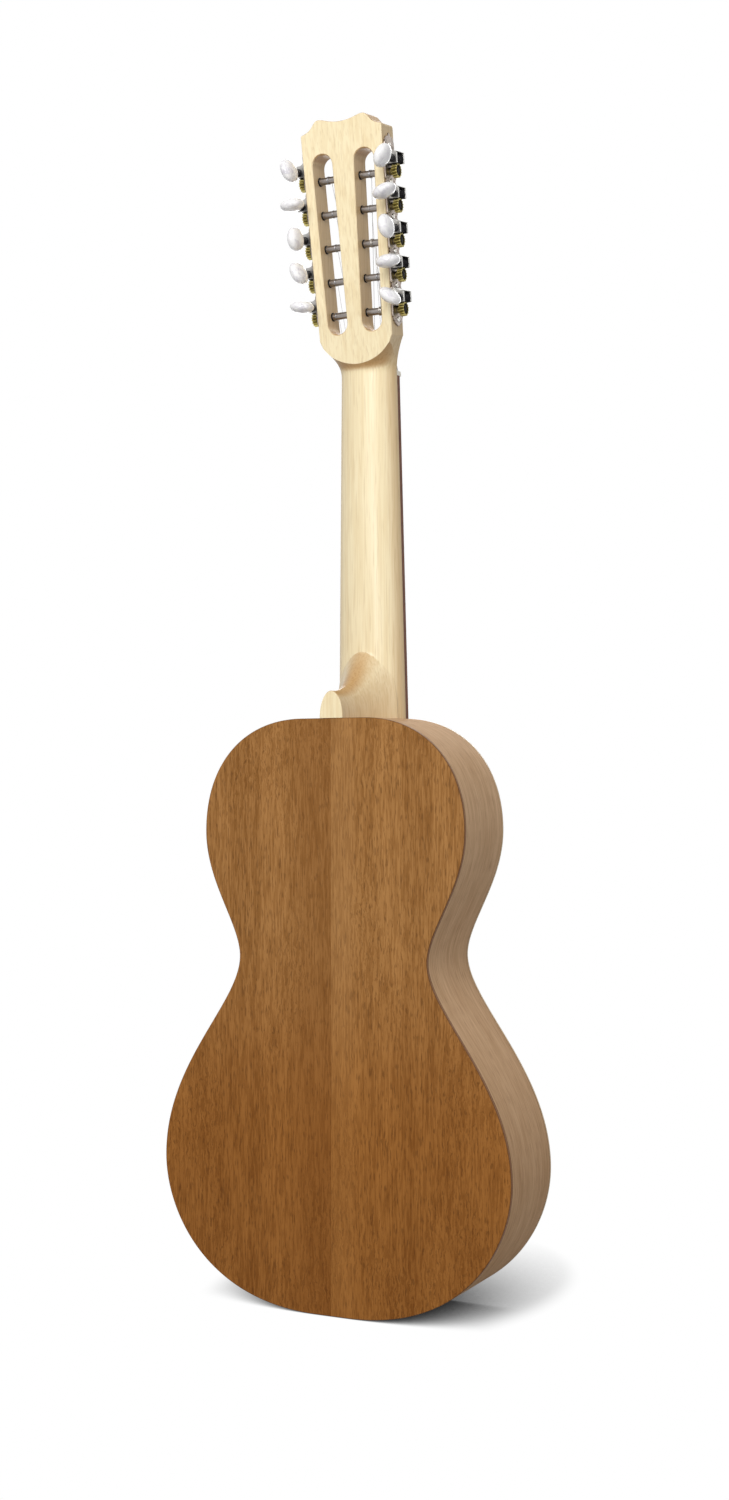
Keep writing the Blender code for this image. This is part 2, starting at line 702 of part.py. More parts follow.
def build_fingerboard(wood):
    """The dark fingerboard, which runs on over the soundboard, with its frets pressed in."""
    foot = fret_z(FRET_COUNT) - FINGERBOARD_TAIL
    top_y = FRONT_Y - GLUE_GAP - FINGERBOARD_THICK
    points = [(-neck_half(foot), foot), (neck_half(foot), foot),
              (neck_half(NUT_Z), NUT_Z), (-neck_half(NUT_Z), NUT_Z)]
    shape = prism(points, lambda z: top_y, lambda z: FRONT_Y - GLUE_GAP)
    board = link("fingerboard", mesh_of("fingerboard", shape), wood)
    frets = bmesh.new()
    for number in range(1, FRET_COUNT + 1):
        z, half = fret_z(number), neck_half(fret_z(number)) - FRET_INSET
        bead = ((-FRET_WIDTH / 2, FRET_SINK), (-FRET_WIDTH / 2, -FRET_HEIGHT / 3),
                (-FRET_CROWN / 2, -FRET_HEIGHT), (FRET_CROWN / 2, -FRET_HEIGHT),
                (FRET_WIDTH / 2, -FRET_HEIGHT / 3), (FRET_WIDTH / 2, FRET_SINK))
        add_loft(frets, [[(x, top_y + y, z + along) for along, y in bead] for x in (-half, half)])
    boolean(board, link("join_frets", mesh_of("join_frets", frets)), "UNION")


def build_nut(bone):
    """The white nut, which stands on the foot of the head against the fingerboard's end."""
    low, high = NUT_Z + GLUE_GAP, NUT_Z + GLUE_GAP + NUT_LENGTH
    crest = FRONT_Y - GLUE_GAP - FINGERBOARD_THICK - NUT_RISE
    lean = math.tan(HEAD_ANGLE)
    profile = [(FRONT_Y - GLUE_GAP, low), (crest, low), (crest, low + NUT_LENGTH / 2),
               (crest + NUT_RISE / 2, high),
               (FRONT_Y - GLUE_GAP + lean * (high - low), high)]
    half = neck_half(NUT_Z)
    shape = loft([[(x, y, z) for y, z in profile] for x in (-half, half)])
    link("nut", mesh_of("nut", shape), bone)


def head_half(along):
    """Half the head's width at a distance up its face."""
    return HEAD_HALF_LOW + math.tan(HEAD_SLOPE) * along


def head_points():
    """The head's outline in its own frame: neck shoulders, straight sides and the crest."""
    base = NECK_HALF_AT_NUT + SHOULDER_ALLOWANCE
    half = [(base, -HEAD_THICK)]
    for i in range(SHOULDER_STEPS + 1):
        share = i / SHOULDER_STEPS
        along = SHOULDER_LOW + share * (SHOULDER_HIGH - SHOULDER_LOW)
        half.append((base + share ** SHOULDER_POWER * (head_half(SHOULDER_HIGH) - base), along))
    half.append((HEAD_HALF_HIGH, HEAD_CORNER - HEAD_CORNER_ROUND))
    stations = ((HEAD_HALF_HIGH - HEAD_CORNER_ROUND / 2, HEAD_CORNER), (CREST_FOOT_HALF, CREST_FOOT),
                (HEAD_PEAK_HALF, HEAD_PEAK), (0.0, HEAD_DIP))
    half += chain(stations, CREST_HANDLES, CREST_STEPS)
    return [*half, *[(-x, z) for x, z in reversed(half[:-1])]]


def slot_points(sign):
    """A string slot with round ends, leaning with the head's side."""
    radius = SLOT_WIDTH / 2
    low = Vector((sign * SLOT_LOW_X, SLOT_LOW + radius))
    high = Vector((sign * SLOT_HIGH_X, SLOT_HIGH - radius))
    lean = math.atan2(high.x - low.x, high.y - low.y)
    points = []
    for centre, start in ((high, 0.0), (low, math.pi)):
        for i in range(SLOT_ROUND_STEPS + 1):
            turn = start + math.pi * i / SLOT_ROUND_STEPS - lean
            points.append((centre.x + radius * math.cos(turn), centre.y + radius * math.sin(turn)))
    return points


def slot_centre(along):
    """How far a slot's middle lies from the centre line at a distance up the head."""
    radius = SLOT_WIDTH / 2
    share = (along - SLOT_LOW - radius) / (SLOT_HIGH - SLOT_LOW - SLOT_WIDTH)
    return SLOT_LOW_X + share * (SLOT_HIGH_X - SLOT_LOW_X)


def build_head(wood, frame, side_frames):
    """The slotted head: a prism trimmed to the flare that grows out of the neck."""
    face, back = (lambda z: 0.0), (lambda z: HEAD_THICK)
    head = link("headstock", mesh_of("headstock", prism(head_points(), face, back)), wood, frame)
    rings = []
    for i in range(HORN_LAYERS + 1):
        rise = HORN_TOP * i / HORN_LAYERS
        half = NECK_HALF_AT_NUT + HORN_SIDE_FLARE * (rise / HORN_HEIGHT) ** HORN_SIDE_POWER
        depth = NECK_DEPTH_AT_NUT + HORN_BACK_FLARE * (rise / HORN_HEIGHT) ** HORN_BACK_POWER
        rings.append(round_back(half, depth, NUT_Z + GLUE_GAP / 2 + rise, CUT_EXTRA))
    top = NUT_Z + 2 * HEAD_PEAK
    rings.append([(x, y, top) for x, y, _ in rings[-1]])
    boolean(head, link("trim_horn", mesh_of("trim_horn", loft(rings))), "INTERSECT")
    slots = bmesh.new()
    ramps = bmesh.new()
    radius = SLOT_WIDTH / 2
    slope = RAMP_DEPTH / (SLOT_LOW - RAMP_START)
    for sign in SIDES.values():
        add_loft(slots, [[(x, y, z) for x, z in slot_points(sign)]
                         for y in (-CUT_EXTRA, HEAD_THICK + CUT_EXTRA)])
        ends = (RAMP_START - CUT_EXTRA, SLOT_LOW + radius)
        floor = [(slope * (z - RAMP_START), z) for z in ends]
        wedge = [(floor[0][0] - CUT_EXTRA, floor[0][1]), *floor, (-CUT_EXTRA, floor[1][1])]
        add_loft(ramps, [[(sign * SLOT_LOW_X + x, y, z) for y, z in wedge]
                         for x in (-radius, radius)])
    boolean(head, link("cut_slots", mesh_of("cut_slots", slots), None, frame), "DIFFERENCE")
    boolean(head, link("cut_ramps", mesh_of("cut_ramps", ramps), None, frame), "DIFFERENCE")
    for side, sign in SIDES.items():
        bores = bmesh.new()
        for along in post_places():
            add_loft(bores, [circle((sign * out, HEAD_THICK / 2, along),
                                    bore_radius(POST_RADIUS, POST_SIDES), POST_SIDES,
                                    (0, 1, 0), (0, 0, 1))
                             for out in (CUT_EXTRA, post_end() - RUN_GAP)])
        name = f"cut_bores_{side}"
        boolean(head, link(name, mesh_of(name, bores), None, side_frames[side]), "DIFFERENCE")


def post_places():
    """How far up the head's side each string post lies."""
    return [FIRST_POST + POST_PITCH * i for i in range(POSTS_PER_SIDE)]


def post_end():
    """Where a post ends inside the head's middle bar, measured inwards from the side face."""
    slot_inner_edge = SLOT_LOW_X - SLOT_WIDTH / 2
    return -(head_half(SLOT_LOW + SLOT_WIDTH / 2) - slot_inner_edge + POST_SINK)


def mirror_for(shape, sign):
    """Mirror a bmesh that was made for the treble side when it is for the bass side."""
    if sign < 0:
        bmesh.ops.scale(shape, vec=(-1, 1, 1), verts=shape.verts)
    return shape


def bore_radius(radius, sides):
    """The radius of a bore of flat sides that clears a round shaft by the running gap."""
    return (radius + RUN_GAP) / math.cos(math.pi / sides)


def tooth_ring(out):
    """The wheel's toothed outline at a distance from its middle, slanted to suit the worm."""
    lead_angle = math.atan(WORM_LEAD / (2 * math.pi * WORM_PITCH_RADIUS))
    twist = out * math.tan(lead_angle) / WHEEL_PITCH_RADIUS
    half_pitch = WORM_LEAD / 4 - TOOTH_PLAY / 2
    lift = math.tan(FLANK_ANGLE)
    tip, root = WHEEL_PITCH_RADIUS + WHEEL_ADDENDUM, WHEEL_PITCH_RADIUS - WHEEL_DEDENDUM
    tip_half = (half_pitch - WHEEL_ADDENDUM * lift) / tip
    root_half = (half_pitch + WHEEL_DEDENDUM * lift) / root
    ring = []
    for tooth in range(WHEEL_TEETH):
        middle = 2 * math.pi * tooth / WHEEL_TEETH + twist
        for radius, angle in ((root, -root_half), (tip, -tip_half), (tip, tip_half),
                              (root, root_half)):
            turn = middle + angle
            ring.append((out, -radius * math.sin(turn), radius * math.cos(turn)))
    return ring


def wheel_and_post(sign):
    """The toothed wheel, and the post that it turns with its collar and its hub."""
    wheel = loft([tooth_ring(-WHEEL_WIDTH / 2), tooth_ring(WHEEL_WIDTH / 2)])
    plate_face = GLUE_GAP + PLATE_THICK + RUN_GAP - MESH_PLANE
    stations = ((post_end() - MESH_PLANE, POST_RADIUS), (plate_face, POST_RADIUS),
                (plate_face, POST_COLLAR_RADIUS), (0.0, POST_COLLAR_RADIUS), (0.0, HUB_RADIUS),
                (WHEEL_WIDTH / 2 + HUB_HEIGHT, HUB_RADIUS))
    post = loft([circle((out, 0, 0), radius, POST_SIDES, (0, 1, 0), (0, 0, 1))
                 for out, radius in stations])
    return mirror_for(wheel, sign), mirror_for(post, sign)


def helix_point(radius, turn, along):
    """A point round the worm's axis, counted from the side that faces the wheel."""
    return Vector((-radius * math.sin(turn), along, -radius * math.cos(turn)))


def worm_turn(step):
    """How far round the axis a step of the thread lies, so that a gap faces the wheel at rest."""
    return 2 * math.pi * (step / WORM_STEPS - WORM_TURNS / 2) + math.pi


def shaft_rings(shape, stations):
    """Add rings of vertices round the worm's axis and skin each to the next."""
    rows = [[shape.verts.new(helix_point(radius, worm_turn(step), along))
             for step in range(WORM_STEPS)] for along, radius in stations]
    for low, high in zip(rows, rows[1:]):
        for i in range(WORM_STEPS):
            j = (i + 1) % WORM_STEPS
            shape.faces.new((low[i], low[j], high[j], high[i]))
    return rows


def worm_rows(shape):
    """Add the thread's rows, root, crest, crest and root, one for each step of the helix."""
    half_pitch = WORM_LEAD / 4 - TOOTH_PLAY / 2
    lift = math.tan(FLANK_ANGLE)
    root_half = half_pitch + (WORM_PITCH_RADIUS - WORM_ROOT_RADIUS) * lift
    crest_half = half_pitch - (WORM_CREST_RADIUS - WORM_PITCH_RADIUS) * lift
    steps = round(WORM_TURNS * WORM_STEPS)
    rows = []
    for step in range(steps + 1):
        turn = worm_turn(step)
        middle = WORM_LEAD * (step / WORM_STEPS - WORM_TURNS / 2)
        grown = min(1.0, (step + 1) / THREAD_RUN_IN, (steps + 1 - step) / THREAD_RUN_IN)
        crest = WORM_ROOT_RADIUS + grown * (WORM_CREST_RADIUS - WORM_ROOT_RADIUS)
        profile = ((WORM_ROOT_RADIUS, -root_half), (crest, -crest_half), (crest, crest_half),
                   (WORM_ROOT_RADIUS, root_half))
        rows.append([shape.verts.new(helix_point(radius, turn, middle + along))
                     for radius, along in profile])
    return rows


def worm():
    """The worm in one skin: journal, threaded core, journal and the collar behind the lug."""
    core, around = WORM_LENGTH / 2, WORM_STEPS
    front = -(LUG_INNER + LUG_THICK + SHAFT_TAIL)
    back = LUG_INNER + LUG_THICK + RUN_GAP
    shape = bmesh.new()
    near = shaft_rings(shape, ((front, SHAFT_RADIUS), (-core, SHAFT_RADIUS),
                               (-core, WORM_ROOT_RADIUS)))
    far = shaft_rings(shape, ((core, WORM_ROOT_RADIUS), (core, SHAFT_RADIUS), (back, SHAFT_RADIUS),
                              (back, COLLAR_RADIUS), (back + COLLAR_LENGTH, COLLAR_RADIUS)))
    thread = worm_rows(shape)
    last = len(thread) - 1
    for low, high in zip(thread, thread[1:]):
        for i in range(len(low) - 1):
            shape.faces.new((low[i], high[i], high[i + 1], low[i + 1]))
    for step in range(last - around):
        shape.faces.new((thread[step][3], thread[step + 1][3], thread[step + 1 + around][0],
                         thread[step + around][0]))
    foot, top = near[-1], far[0]
    for step in range(around - 1):
        shape.faces.new((foot[step], foot[step + 1], thread[step + 1][0], thread[step][0]))
    shape.faces.new((foot[-1], foot[0], thread[0][0], thread[0][3], thread[around][0],
                     thread[around - 1][0]))
    for step in range(last - around + 1, last):
        shape.faces.new((thread[step][3], thread[step + 1][3], top[(step + 1) % around],
                         top[step % around]))
    start = last - around
    shape.faces.new((thread[start][3], thread[start + 1][3], top[(start + 1) % around],
                     top[start % around], thread[last][3], thread[last][0]))
    for cap in (near[0], far[-1], thread[0], thread[-1]):
        shape.faces.new(cap)
    return shape


def button(turn):
    """The oval button, turned about the shaft to the angle at which it was left."""
    start = LUG_INNER + LUG_THICK + RUN_GAP + COLLAR_LENGTH - GLUE_GAP
    rings = []
    for layer in range(BUTTON_LAYERS + 1):
        from_middle = math.cos(math.pi * layer / BUTTON_LAYERS)
        full = (1 - abs(from_middle) ** BUTTON_FULLNESS) ** (1 / BUTTON_FULLNESS)
        size = max(BUTTON_END, full)
        ring = []
        for i in range(BUTTON_SIDES):
            angle = 2 * math.pi * i / BUTTON_SIDES
            ring.append((BUTTON_HALF_THICK * size * math.cos(angle),
                         start + (1 - from_middle) / 2 * BUTTON_LENGTH,
                         BUTTON_HALF_WIDTH * size * math.sin(angle)))
        rings.append(ring)
    shape = bmesh.new()
    add_loft(shape, rings)
    bmesh.ops.rotate(shape, cent=(0, 0, 0), matrix=Matrix.Rotation(math.radians(turn), 3, "Y"),
                     verts=shape.verts)
    return shape


def plate_points():
    """The side plate's outline: a scroll at each end and a notch below each of the upper wheels."""
    low = FIRST_POST - PLATE_FOOT_DROP
    high = post_places()[-1] + PLATE_HEAD_RISE
    half = [(across, low + along) for across, along in PLATE_FOOT]
    for along in post_places()[1:]:
        notch = along - PLATE_FOOT_DROP
        half += [(PLATE_HALF, notch - PLATE_NOTCH_HALF), (PLATE_HALF - PLATE_NOTCH, notch),
                 (PLATE_HALF, notch + PLATE_NOTCH_HALF)]
    half += [(across, high + along) for across, along in PLATE_HEAD]
    foot, tip = (0.0, low - PLATE_FOOT_TIP), (0.0, high + PLATE_TIP)
    return [foot, *half, tip, *[(-x, z) for x, z in reversed(half)]]


def build_plate(side, metal, frame):
    """A side plate with its ten lugs, bored for the posts and the worm shafts."""
    sign = SIDES[side]
    near, far = GLUE_GAP, GLUE_GAP + PLATE_THICK
    middle = HEAD_THICK / 2
    base = bmesh.new()
    add_loft(base, [[(out, middle + across, along) for across, along in plate_points()]
                    for out in (near, far)])
    plate = link(f"machine_plate_{side}",
                 mesh_of(f"machine_plate_{side}", mirror_for(base, sign)), metal, frame)
    lugs, posts, shafts = (bmesh.new() for _ in range(3))
    for along in post_places():
        axis = along + MESH_DISTANCE
        for start in (-LUG_INNER - LUG_THICK, LUG_INNER):
            ring = [(near + PLATE_THICK / 2, axis - LUG_HALF)]
            for i in range(LUG_STEPS + 1):
                turn = math.pi * i / LUG_STEPS
                ring.append((MESH_PLANE + LUG_REACH * math.sin(turn),
                             axis - LUG_HALF * math.cos(turn)))
            ring.append((near + PLATE_THICK / 2, axis + LUG_HALF))
            add_loft(lugs, [[(out, middle + y, z) for out, z in ring]
                            for y in (start, start + LUG_THICK)])
        reach = LUG_INNER + LUG_THICK + CUT_EXTRA
        add_loft(shafts, [circle((MESH_PLANE, middle + y, axis),
                                 bore_radius(SHAFT_RADIUS, SHAFT_BORE_SIDES), SHAFT_BORE_SIDES,
                                 (1, 0, 0), (0, 0, 1)) for y in (-reach, reach)])
        add_loft(posts, [circle((out, middle, along), bore_radius(POST_RADIUS, POST_SIDES),
                                POST_SIDES, (0, 1, 0), (0, 0, 1)) for out in (-CUT_EXTRA, CUT_EXTRA)])
    for name, shape, operation in (("join_lugs", lugs, "UNION"),
                                   ("cut_posts", posts, "DIFFERENCE"),
                                   ("cut_shafts", shafts, "DIFFERENCE")):
        full = f"{name}_{side}"
        boolean(plate, link(full, mesh_of(full, mirror_for(shape, sign)), None, frame), operation)


def build_machine(side, number, along, finishes, frame):
    """One machine head: the worm with its button, and the wheel with its post."""
    sign = SIDES[side]
    middle = HEAD_THICK / 2
    wheel, post = wheel_and_post(sign)
    name = f"wheel_and_post_{side}_{number}"
    place = (sign * MESH_PLANE, middle, along)
    body = link(name, mesh_of(name, wheel), finishes["brass"], frame, place)
    full = f"join_post_{side}_{number}"
    boolean(body, link(full, mesh_of(full, post), None, frame, place), "UNION")
    name = f"worm_and_button_{side}_{number}"
    place = (sign * MESH_PLANE, middle, along + MESH_DISTANCE)
    body = link(name, mesh_of(name, mirror_for(worm(), sign)), finishes["pearl"], frame, place)
    full = f"join_button_{side}_{number}"
    oval = mesh_of(full, button(BUTTON_TURNS[side][number - 1]))
    boolean(body, link(full, oval, None, frame, place), "UNION")


def wing_points():
    """The bridge's base: a straight middle and two leaf-shaped wings."""
    middle, depth = (BRIDGE_NOSE - BRIDGE_TAIL) / 2, (BRIDGE_NOSE + BRIDGE_TAIL) / 2
    stations = ((BRIDGE_BASE_HALF, -1.0), (BRIDGE_WING_WAIST, WING_WAIST_LOW),
                (BRIDGE_WING_HALF, WING_TIP), (BRIDGE_WING_WAIST, WING_WAIST_HIGH),
                (BRIDGE_BASE_HALF, 1.0))
    half = [(x, middle + share * depth) for x, share in chain(stations, WING_HANDLES, WING_STEPS)]
    return [*half, *[(-x, z) for x, z in reversed(half)]]


def saddle_slot():
    """The low and high edge of the slot that holds the saddle, in z from the string line."""
    return -SADDLE_THICK / 2 - GLUE_GAP, SADDLE_THICK / 2 + GLUE_GAP


def build_bridge(wood, bone):
    """The glued bridge with its tie block and wings, and the bone saddle in its slot."""
    seat = FRONT_Y - GLUE_GAP
    points = [(x, SADDLE_Z + z) for x, z in wing_points()]
    base = prism(points, lambda z: seat - BRIDGE_BASE_THICK, lambda z: seat)
    bridge = link("bridge", mesh_of("bridge", base), wood)
    low, high = saddle_slot()
    tie = -BRIDGE_TAIL + TIE_BLOCK_LENGTH
    floor = BRIDGE_FRONT_HEIGHT - SADDLE_SLOT_DEPTH
    lip = CHANNEL_HEIGHT - BRIDGE_BASE_THICK / 2
    profile = [(-BRIDGE_TAIL + GLUE_GAP, BRIDGE_BASE_THICK / 2), (BRIDGE_NOSE - GLUE_GAP,
               BRIDGE_BASE_THICK / 2), (BRIDGE_NOSE - lip, BRIDGE_FRONT_HEIGHT),
               (high, BRIDGE_FRONT_HEIGHT), (high, floor), (low, floor),
               (low, BRIDGE_FRONT_HEIGHT), (2 * low, BRIDGE_FRONT_HEIGHT),
               (3 * low, CHANNEL_HEIGHT), (tie, CHANNEL_HEIGHT), (tie, TIE_BLOCK_HEIGHT),
               (-BRIDGE_TAIL + GLUE_GAP, TIE_BLOCK_HEIGHT)]
    block = loft([[(x, seat - rise, SADDLE_Z + along) for along, rise in profile]
                  for x in (-BRIDGE_BLOCK_HALF, BRIDGE_BLOCK_HALF)])
    boolean(bridge, link("join_bridge_block", mesh_of("join_bridge_block", block)), "UNION")
    slot = [(-SADDLE_HALF - GLUE_GAP, high), (SADDLE_HALF + GLUE_GAP, high),
            (SADDLE_HALF + GLUE_GAP, low), (-SADDLE_HALF - GLUE_GAP, low)]
    room = prism([(x, SADDLE_Z + z) for x, z in slot],
                 lambda z: seat - BRIDGE_FRONT_HEIGHT - CUT_EXTRA, lambda z: seat - floor)
    boolean(bridge, link("cut_saddle_slot", mesh_of("cut_saddle_slot", room)), "DIFFERENCE")
    holes = bmesh.new()
    for string in string_plan():
        add_loft(holes, [circle((string["bridge_x"], seat - STRING_HOLE_HEIGHT, SADDLE_Z + z),
                                STRING_HOLE_RADIUS, STRING_HOLE_SIDES, (1, 0, 0), (0, 1, 0))
                         for z in (-BRIDGE_TAIL - CUT_EXTRA, tie + CUT_EXTRA / 2)])
    boolean(bridge, link("cut_string_holes", mesh_of("cut_string_holes", holes)), "DIFFERENCE")
    thick = SADDLE_THICK / 2
    crown = [(-thick, floor + GLUE_GAP), (-thick, SADDLE_HEIGHT - thick / 2),
             (-thick / 3, SADDLE_HEIGHT), (thick / 3, SADDLE_HEIGHT),
             (thick, SADDLE_HEIGHT - thick / 2), (thick, floor + GLUE_GAP)]
    shape = loft([[(x, seat - rise, SADDLE_Z + along) for along, rise in crown]
                  for x in (-SADDLE_HALF, SADDLE_HALF)])
    link("saddle", mesh_of("saddle", shape), bone)


def string_plan():
    """Which post each string goes to, from the outer string of a side to its inner one."""
    plan = []
    for side, sign in SIDES.items():
        for i in range(POSTS_PER_SIDE):
            course, outer = 2 - i // 2, 1 - 2 * (i % 2)
            nut_x = course * NUT_COURSE_PITCH + outer * NUT_PAIR_HALF
            bridge_x = course * BRIDGE_COURSE_PITCH + outer * BRIDGE_PAIR_HALF
            plan.append({"side": side, "number": i + 1, "nut_x": sign * nut_x,
                         "bridge_x": sign * bridge_x, "lane": sign, "post": i,
                         "diameter": STRING_DIAMETERS[side][i]})
    return plan


def string_route(string, frame):
    """The points of one string, from behind the tie block over saddle and nut to its post."""
    radius = string["diameter"] / 2
    seat = FRONT_Y - GLUE_GAP
    hole_y = seat - STRING_HOLE_HEIGHT
    saddle_y = seat - SADDLE_HEIGHT - RUN_GAP - radius
    nut_y = FRONT_Y - GLUE_GAP - FINGERBOARD_THICK - NUT_RISE - RUN_GAP - radius
    bridge_x, nut_x = string["bridge_x"], string["nut_x"]
    tie = -BRIDGE_TAIL + TIE_BLOCK_LENGTH
    along = post_places()[string["post"]]
    lane = slot_centre(along) + POST_LANES[string["post"]]
    tangent = HEAD_THICK / 2 - POST_RADIUS - RUN_GAP - radius
    post = frame @ Vector((string["lane"] * lane, tangent, along))
    thick = SADDLE_THICK
    nut_low, nut_high = NUT_Z + GLUE_GAP, NUT_Z + NUT_LENGTH / 2
    return [Vector((bridge_x, hole_y, SADDLE_Z - BRIDGE_TAIL - STRING_TAIL)),
            Vector((bridge_x, hole_y, SADDLE_Z + tie + RUN_GAP)),
            Vector((bridge_x, saddle_y, SADDLE_Z - thick / 2)),
            Vector((bridge_x, saddle_y, SADDLE_Z + thick / 2)),
            Vector((nut_x, nut_y, nut_low)), Vector((nut_x, nut_y, nut_high)), post]


def build_strings(steel, frame):
    """The ten strings, each drawn taut from the bridge to its own post."""
    for string in string_plan():
        name = f"string_{string['side']}_{string['number']}"
        curve = bpy.data.curves.new(name, "CURVE")
        curve.dimensions = "3D"
        curve.bevel_depth = string["diameter"] / 2
        curve.bevel_resolution = 0
        curve.use_fill_caps = True
        route = string_route(string, frame)
        line = curve.splines.new("POLY")
        line.points.add(len(route) - 1)
        for point, place in zip(line.points, route):
            point.co = (*place, 1.0)
        link(name, curve, steel)


def build():
    """Make every piece of the instrument."""
    clear_scene()
    top_wood = finish("soundboard_wood", (0.80, 0.62, 0.38), 0.40)
    back_wood = finish("back_wood", (0.40, 0.20, 0.09), 0.38)
    rib_wood = finish("rib_wood", (0.45, 0.26, 0.14), 0.38)
    neck_wood = finish("neck_wood", (0.82, 0.66, 0.42), 0.42)
    inner_wood = finish("inner_wood", (0.72, 0.52, 0.32), 0.70)
    dark_wood = finish("dark_wood", (0.12, 0.06, 0.035), 0.45)
    bone = finish("bone", (0.90, 0.87, 0.78), 0.35)
    nickel = finish("nickel", (0.78, 0.76, 0.74), 0.28, 1.0)
    steel = finish("string_steel", (0.70, 0.70, 0.72), 0.30, 1.0)
    finishes = {"brass": finish("wheel_brass", (0.72, 0.55, 0.25), 0.35, 1.0),
                "pearl": finish("button_pearl", (0.88, 0.88, 0.90), 0.25)}
    build_soundboard(top_wood)
    build_back(back_wood)
    build_ribs(rib_wood)
    build_tail_graft(dark_wood)
    build_linings(inner_wood)
    build_blocks(inner_wood)
    build_braces(inner_wood)
    build_neck(neck_wood)
    build_fingerboard(dark_wood)
    build_nut(bone)
    head_frame = link("head_frame", None, None, None, (0.0, FRONT_Y, NUT_Z), (-HEAD_ANGLE, 0, 0))
    side_frames = {side: link(f"{side}_side_frame", None, None, head_frame,
                              (sign * HEAD_HALF_LOW, 0.0, 0.0), (0.0, sign * HEAD_SLOPE, 0.0))
                   for side, sign in SIDES.items()}
    build_head(neck_wood, head_frame, side_frames)
    for side in SIDES:
        build_plate(side, nickel, side_frames[side])
        for i, along in enumerate(post_places()):
            build_machine(side, i + 1, along, finishes, side_frames[side])
    build_bridge(dark_wood, bone)
    bpy.context.view_layer.update()
    build_strings(steel, head_frame.matrix_world)


build()
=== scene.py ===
"""Looks of the viola da terra: the form and finish of every surface, a studio and the photograph's view.

Everything is in metres in the part's own frame. +Z runs up the neck, the soundboard faces -Y, the
back faces +Y and the treble side is +X. The instrument stands on the middle of its tail end.
Each sub-assembly is a class that models its pieces with Blender's own tools and dresses them.
"""

import logging
import math
from collections.abc import Callable, Iterable, Sequence
from dataclasses import dataclass, field
from enum import Enum
from typing import Any

import bmesh
import bpy
from mathutils import Matrix, Vector


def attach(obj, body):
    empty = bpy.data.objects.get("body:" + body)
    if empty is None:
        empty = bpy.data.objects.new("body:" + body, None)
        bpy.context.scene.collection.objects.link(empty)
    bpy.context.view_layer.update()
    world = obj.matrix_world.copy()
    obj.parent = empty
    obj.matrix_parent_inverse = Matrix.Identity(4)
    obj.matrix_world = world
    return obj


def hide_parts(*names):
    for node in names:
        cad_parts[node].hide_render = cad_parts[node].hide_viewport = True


LOG = logging.getLogger("viola")
Colour = tuple[float, float, float]
Spot = tuple[float, float]
Piece = bpy.types.Object

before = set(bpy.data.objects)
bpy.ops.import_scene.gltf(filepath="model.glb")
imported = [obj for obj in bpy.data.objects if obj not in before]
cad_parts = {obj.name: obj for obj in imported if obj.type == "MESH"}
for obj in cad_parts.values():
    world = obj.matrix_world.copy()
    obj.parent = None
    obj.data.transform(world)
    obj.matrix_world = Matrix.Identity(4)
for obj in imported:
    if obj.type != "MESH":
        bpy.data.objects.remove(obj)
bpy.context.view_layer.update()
BODY = "instrument"


class Way(Enum):
    """How the grain of a board lies."""

    UP_THE_NECK = "up"
    MIRRORED = "mirrored"
    ALONG_THE_RIB = "rib"
    ACROSS = "across"
    UP_THE_HEAD = "head"


class Side(Enum):
    """A side of the instrument, as the sign of x."""

    TREBLE = 1
    BASS = -1

    @property
    def label(self) -> str:
        """The side's word in the nodes' names."""
        return self.name.lower()


# ---------------------------------------------------------------- plans and points


def curve_point(start: Spot, leave: Spot, arrive: Spot, end: Spot, share: float) -> Spot:
    """A point of a cubic curve in the plane.

    Args:
        start: where it starts.
        leave: the handle of the start.
        arrive: the handle of the end.
        end: where it ends.
        share: how far along, 0 to 1.

    Returns:
        The point.
    """
    rest = 1 - share
    weights = (rest ** 3, 3 * rest ** 2 * share, 3 * rest * share ** 2, share ** 3)
    points = (start, leave, arrive, end)
    return tuple(sum(w * p[axis] for w, p in zip(weights, points)) for axis in (0, 1))


def chain(stations: Sequence[Spot], handles: Sequence[tuple[Spot, Spot]], steps: Sequence[int]) -> list[Spot]:
    """Points along cubic curves from station to station.

    Args:
        stations: where the curves meet.
        handles: each curve's two handles, as shares of the way across and along.
        steps: how many points each curve gives.

    Returns:
        The points, with the last station at the end.
    """
    points = []
    for start, end, (leave, arrive), count in zip(stations, stations[1:], handles, steps):
        held = [tuple(s + share * (e - s) for s, e, share in zip(start, end, way)) for way in (leave, arrive)]
        points += [curve_point(start, *held, end, i / count) for i in range(count)]
    return [*points, stations[-1]]


def smooth_line(points: Sequence[Spot], steps: int) -> list[Spot]:
    """A smooth line through points.

    Args:
        points: what it passes through.
        steps: how many points each stretch gives.

    Returns:
        The points of the line, ends included.
    """
    line = []
    ends = [points[0], *points, points[-1]]
    for before, start, end, after in zip(ends, ends[1:], ends[2:], ends[3:]):
        leave = tuple(s + (e - b) / 6 for b, s, e in zip(before, start, end))
        arrive = tuple(e - (a - s) / 6 for s, e, a in zip(start, end, after))
        line += [curve_point(start, leave, arrive, end, i / steps) for i in range(steps)]
    return [*line, points[-1]]


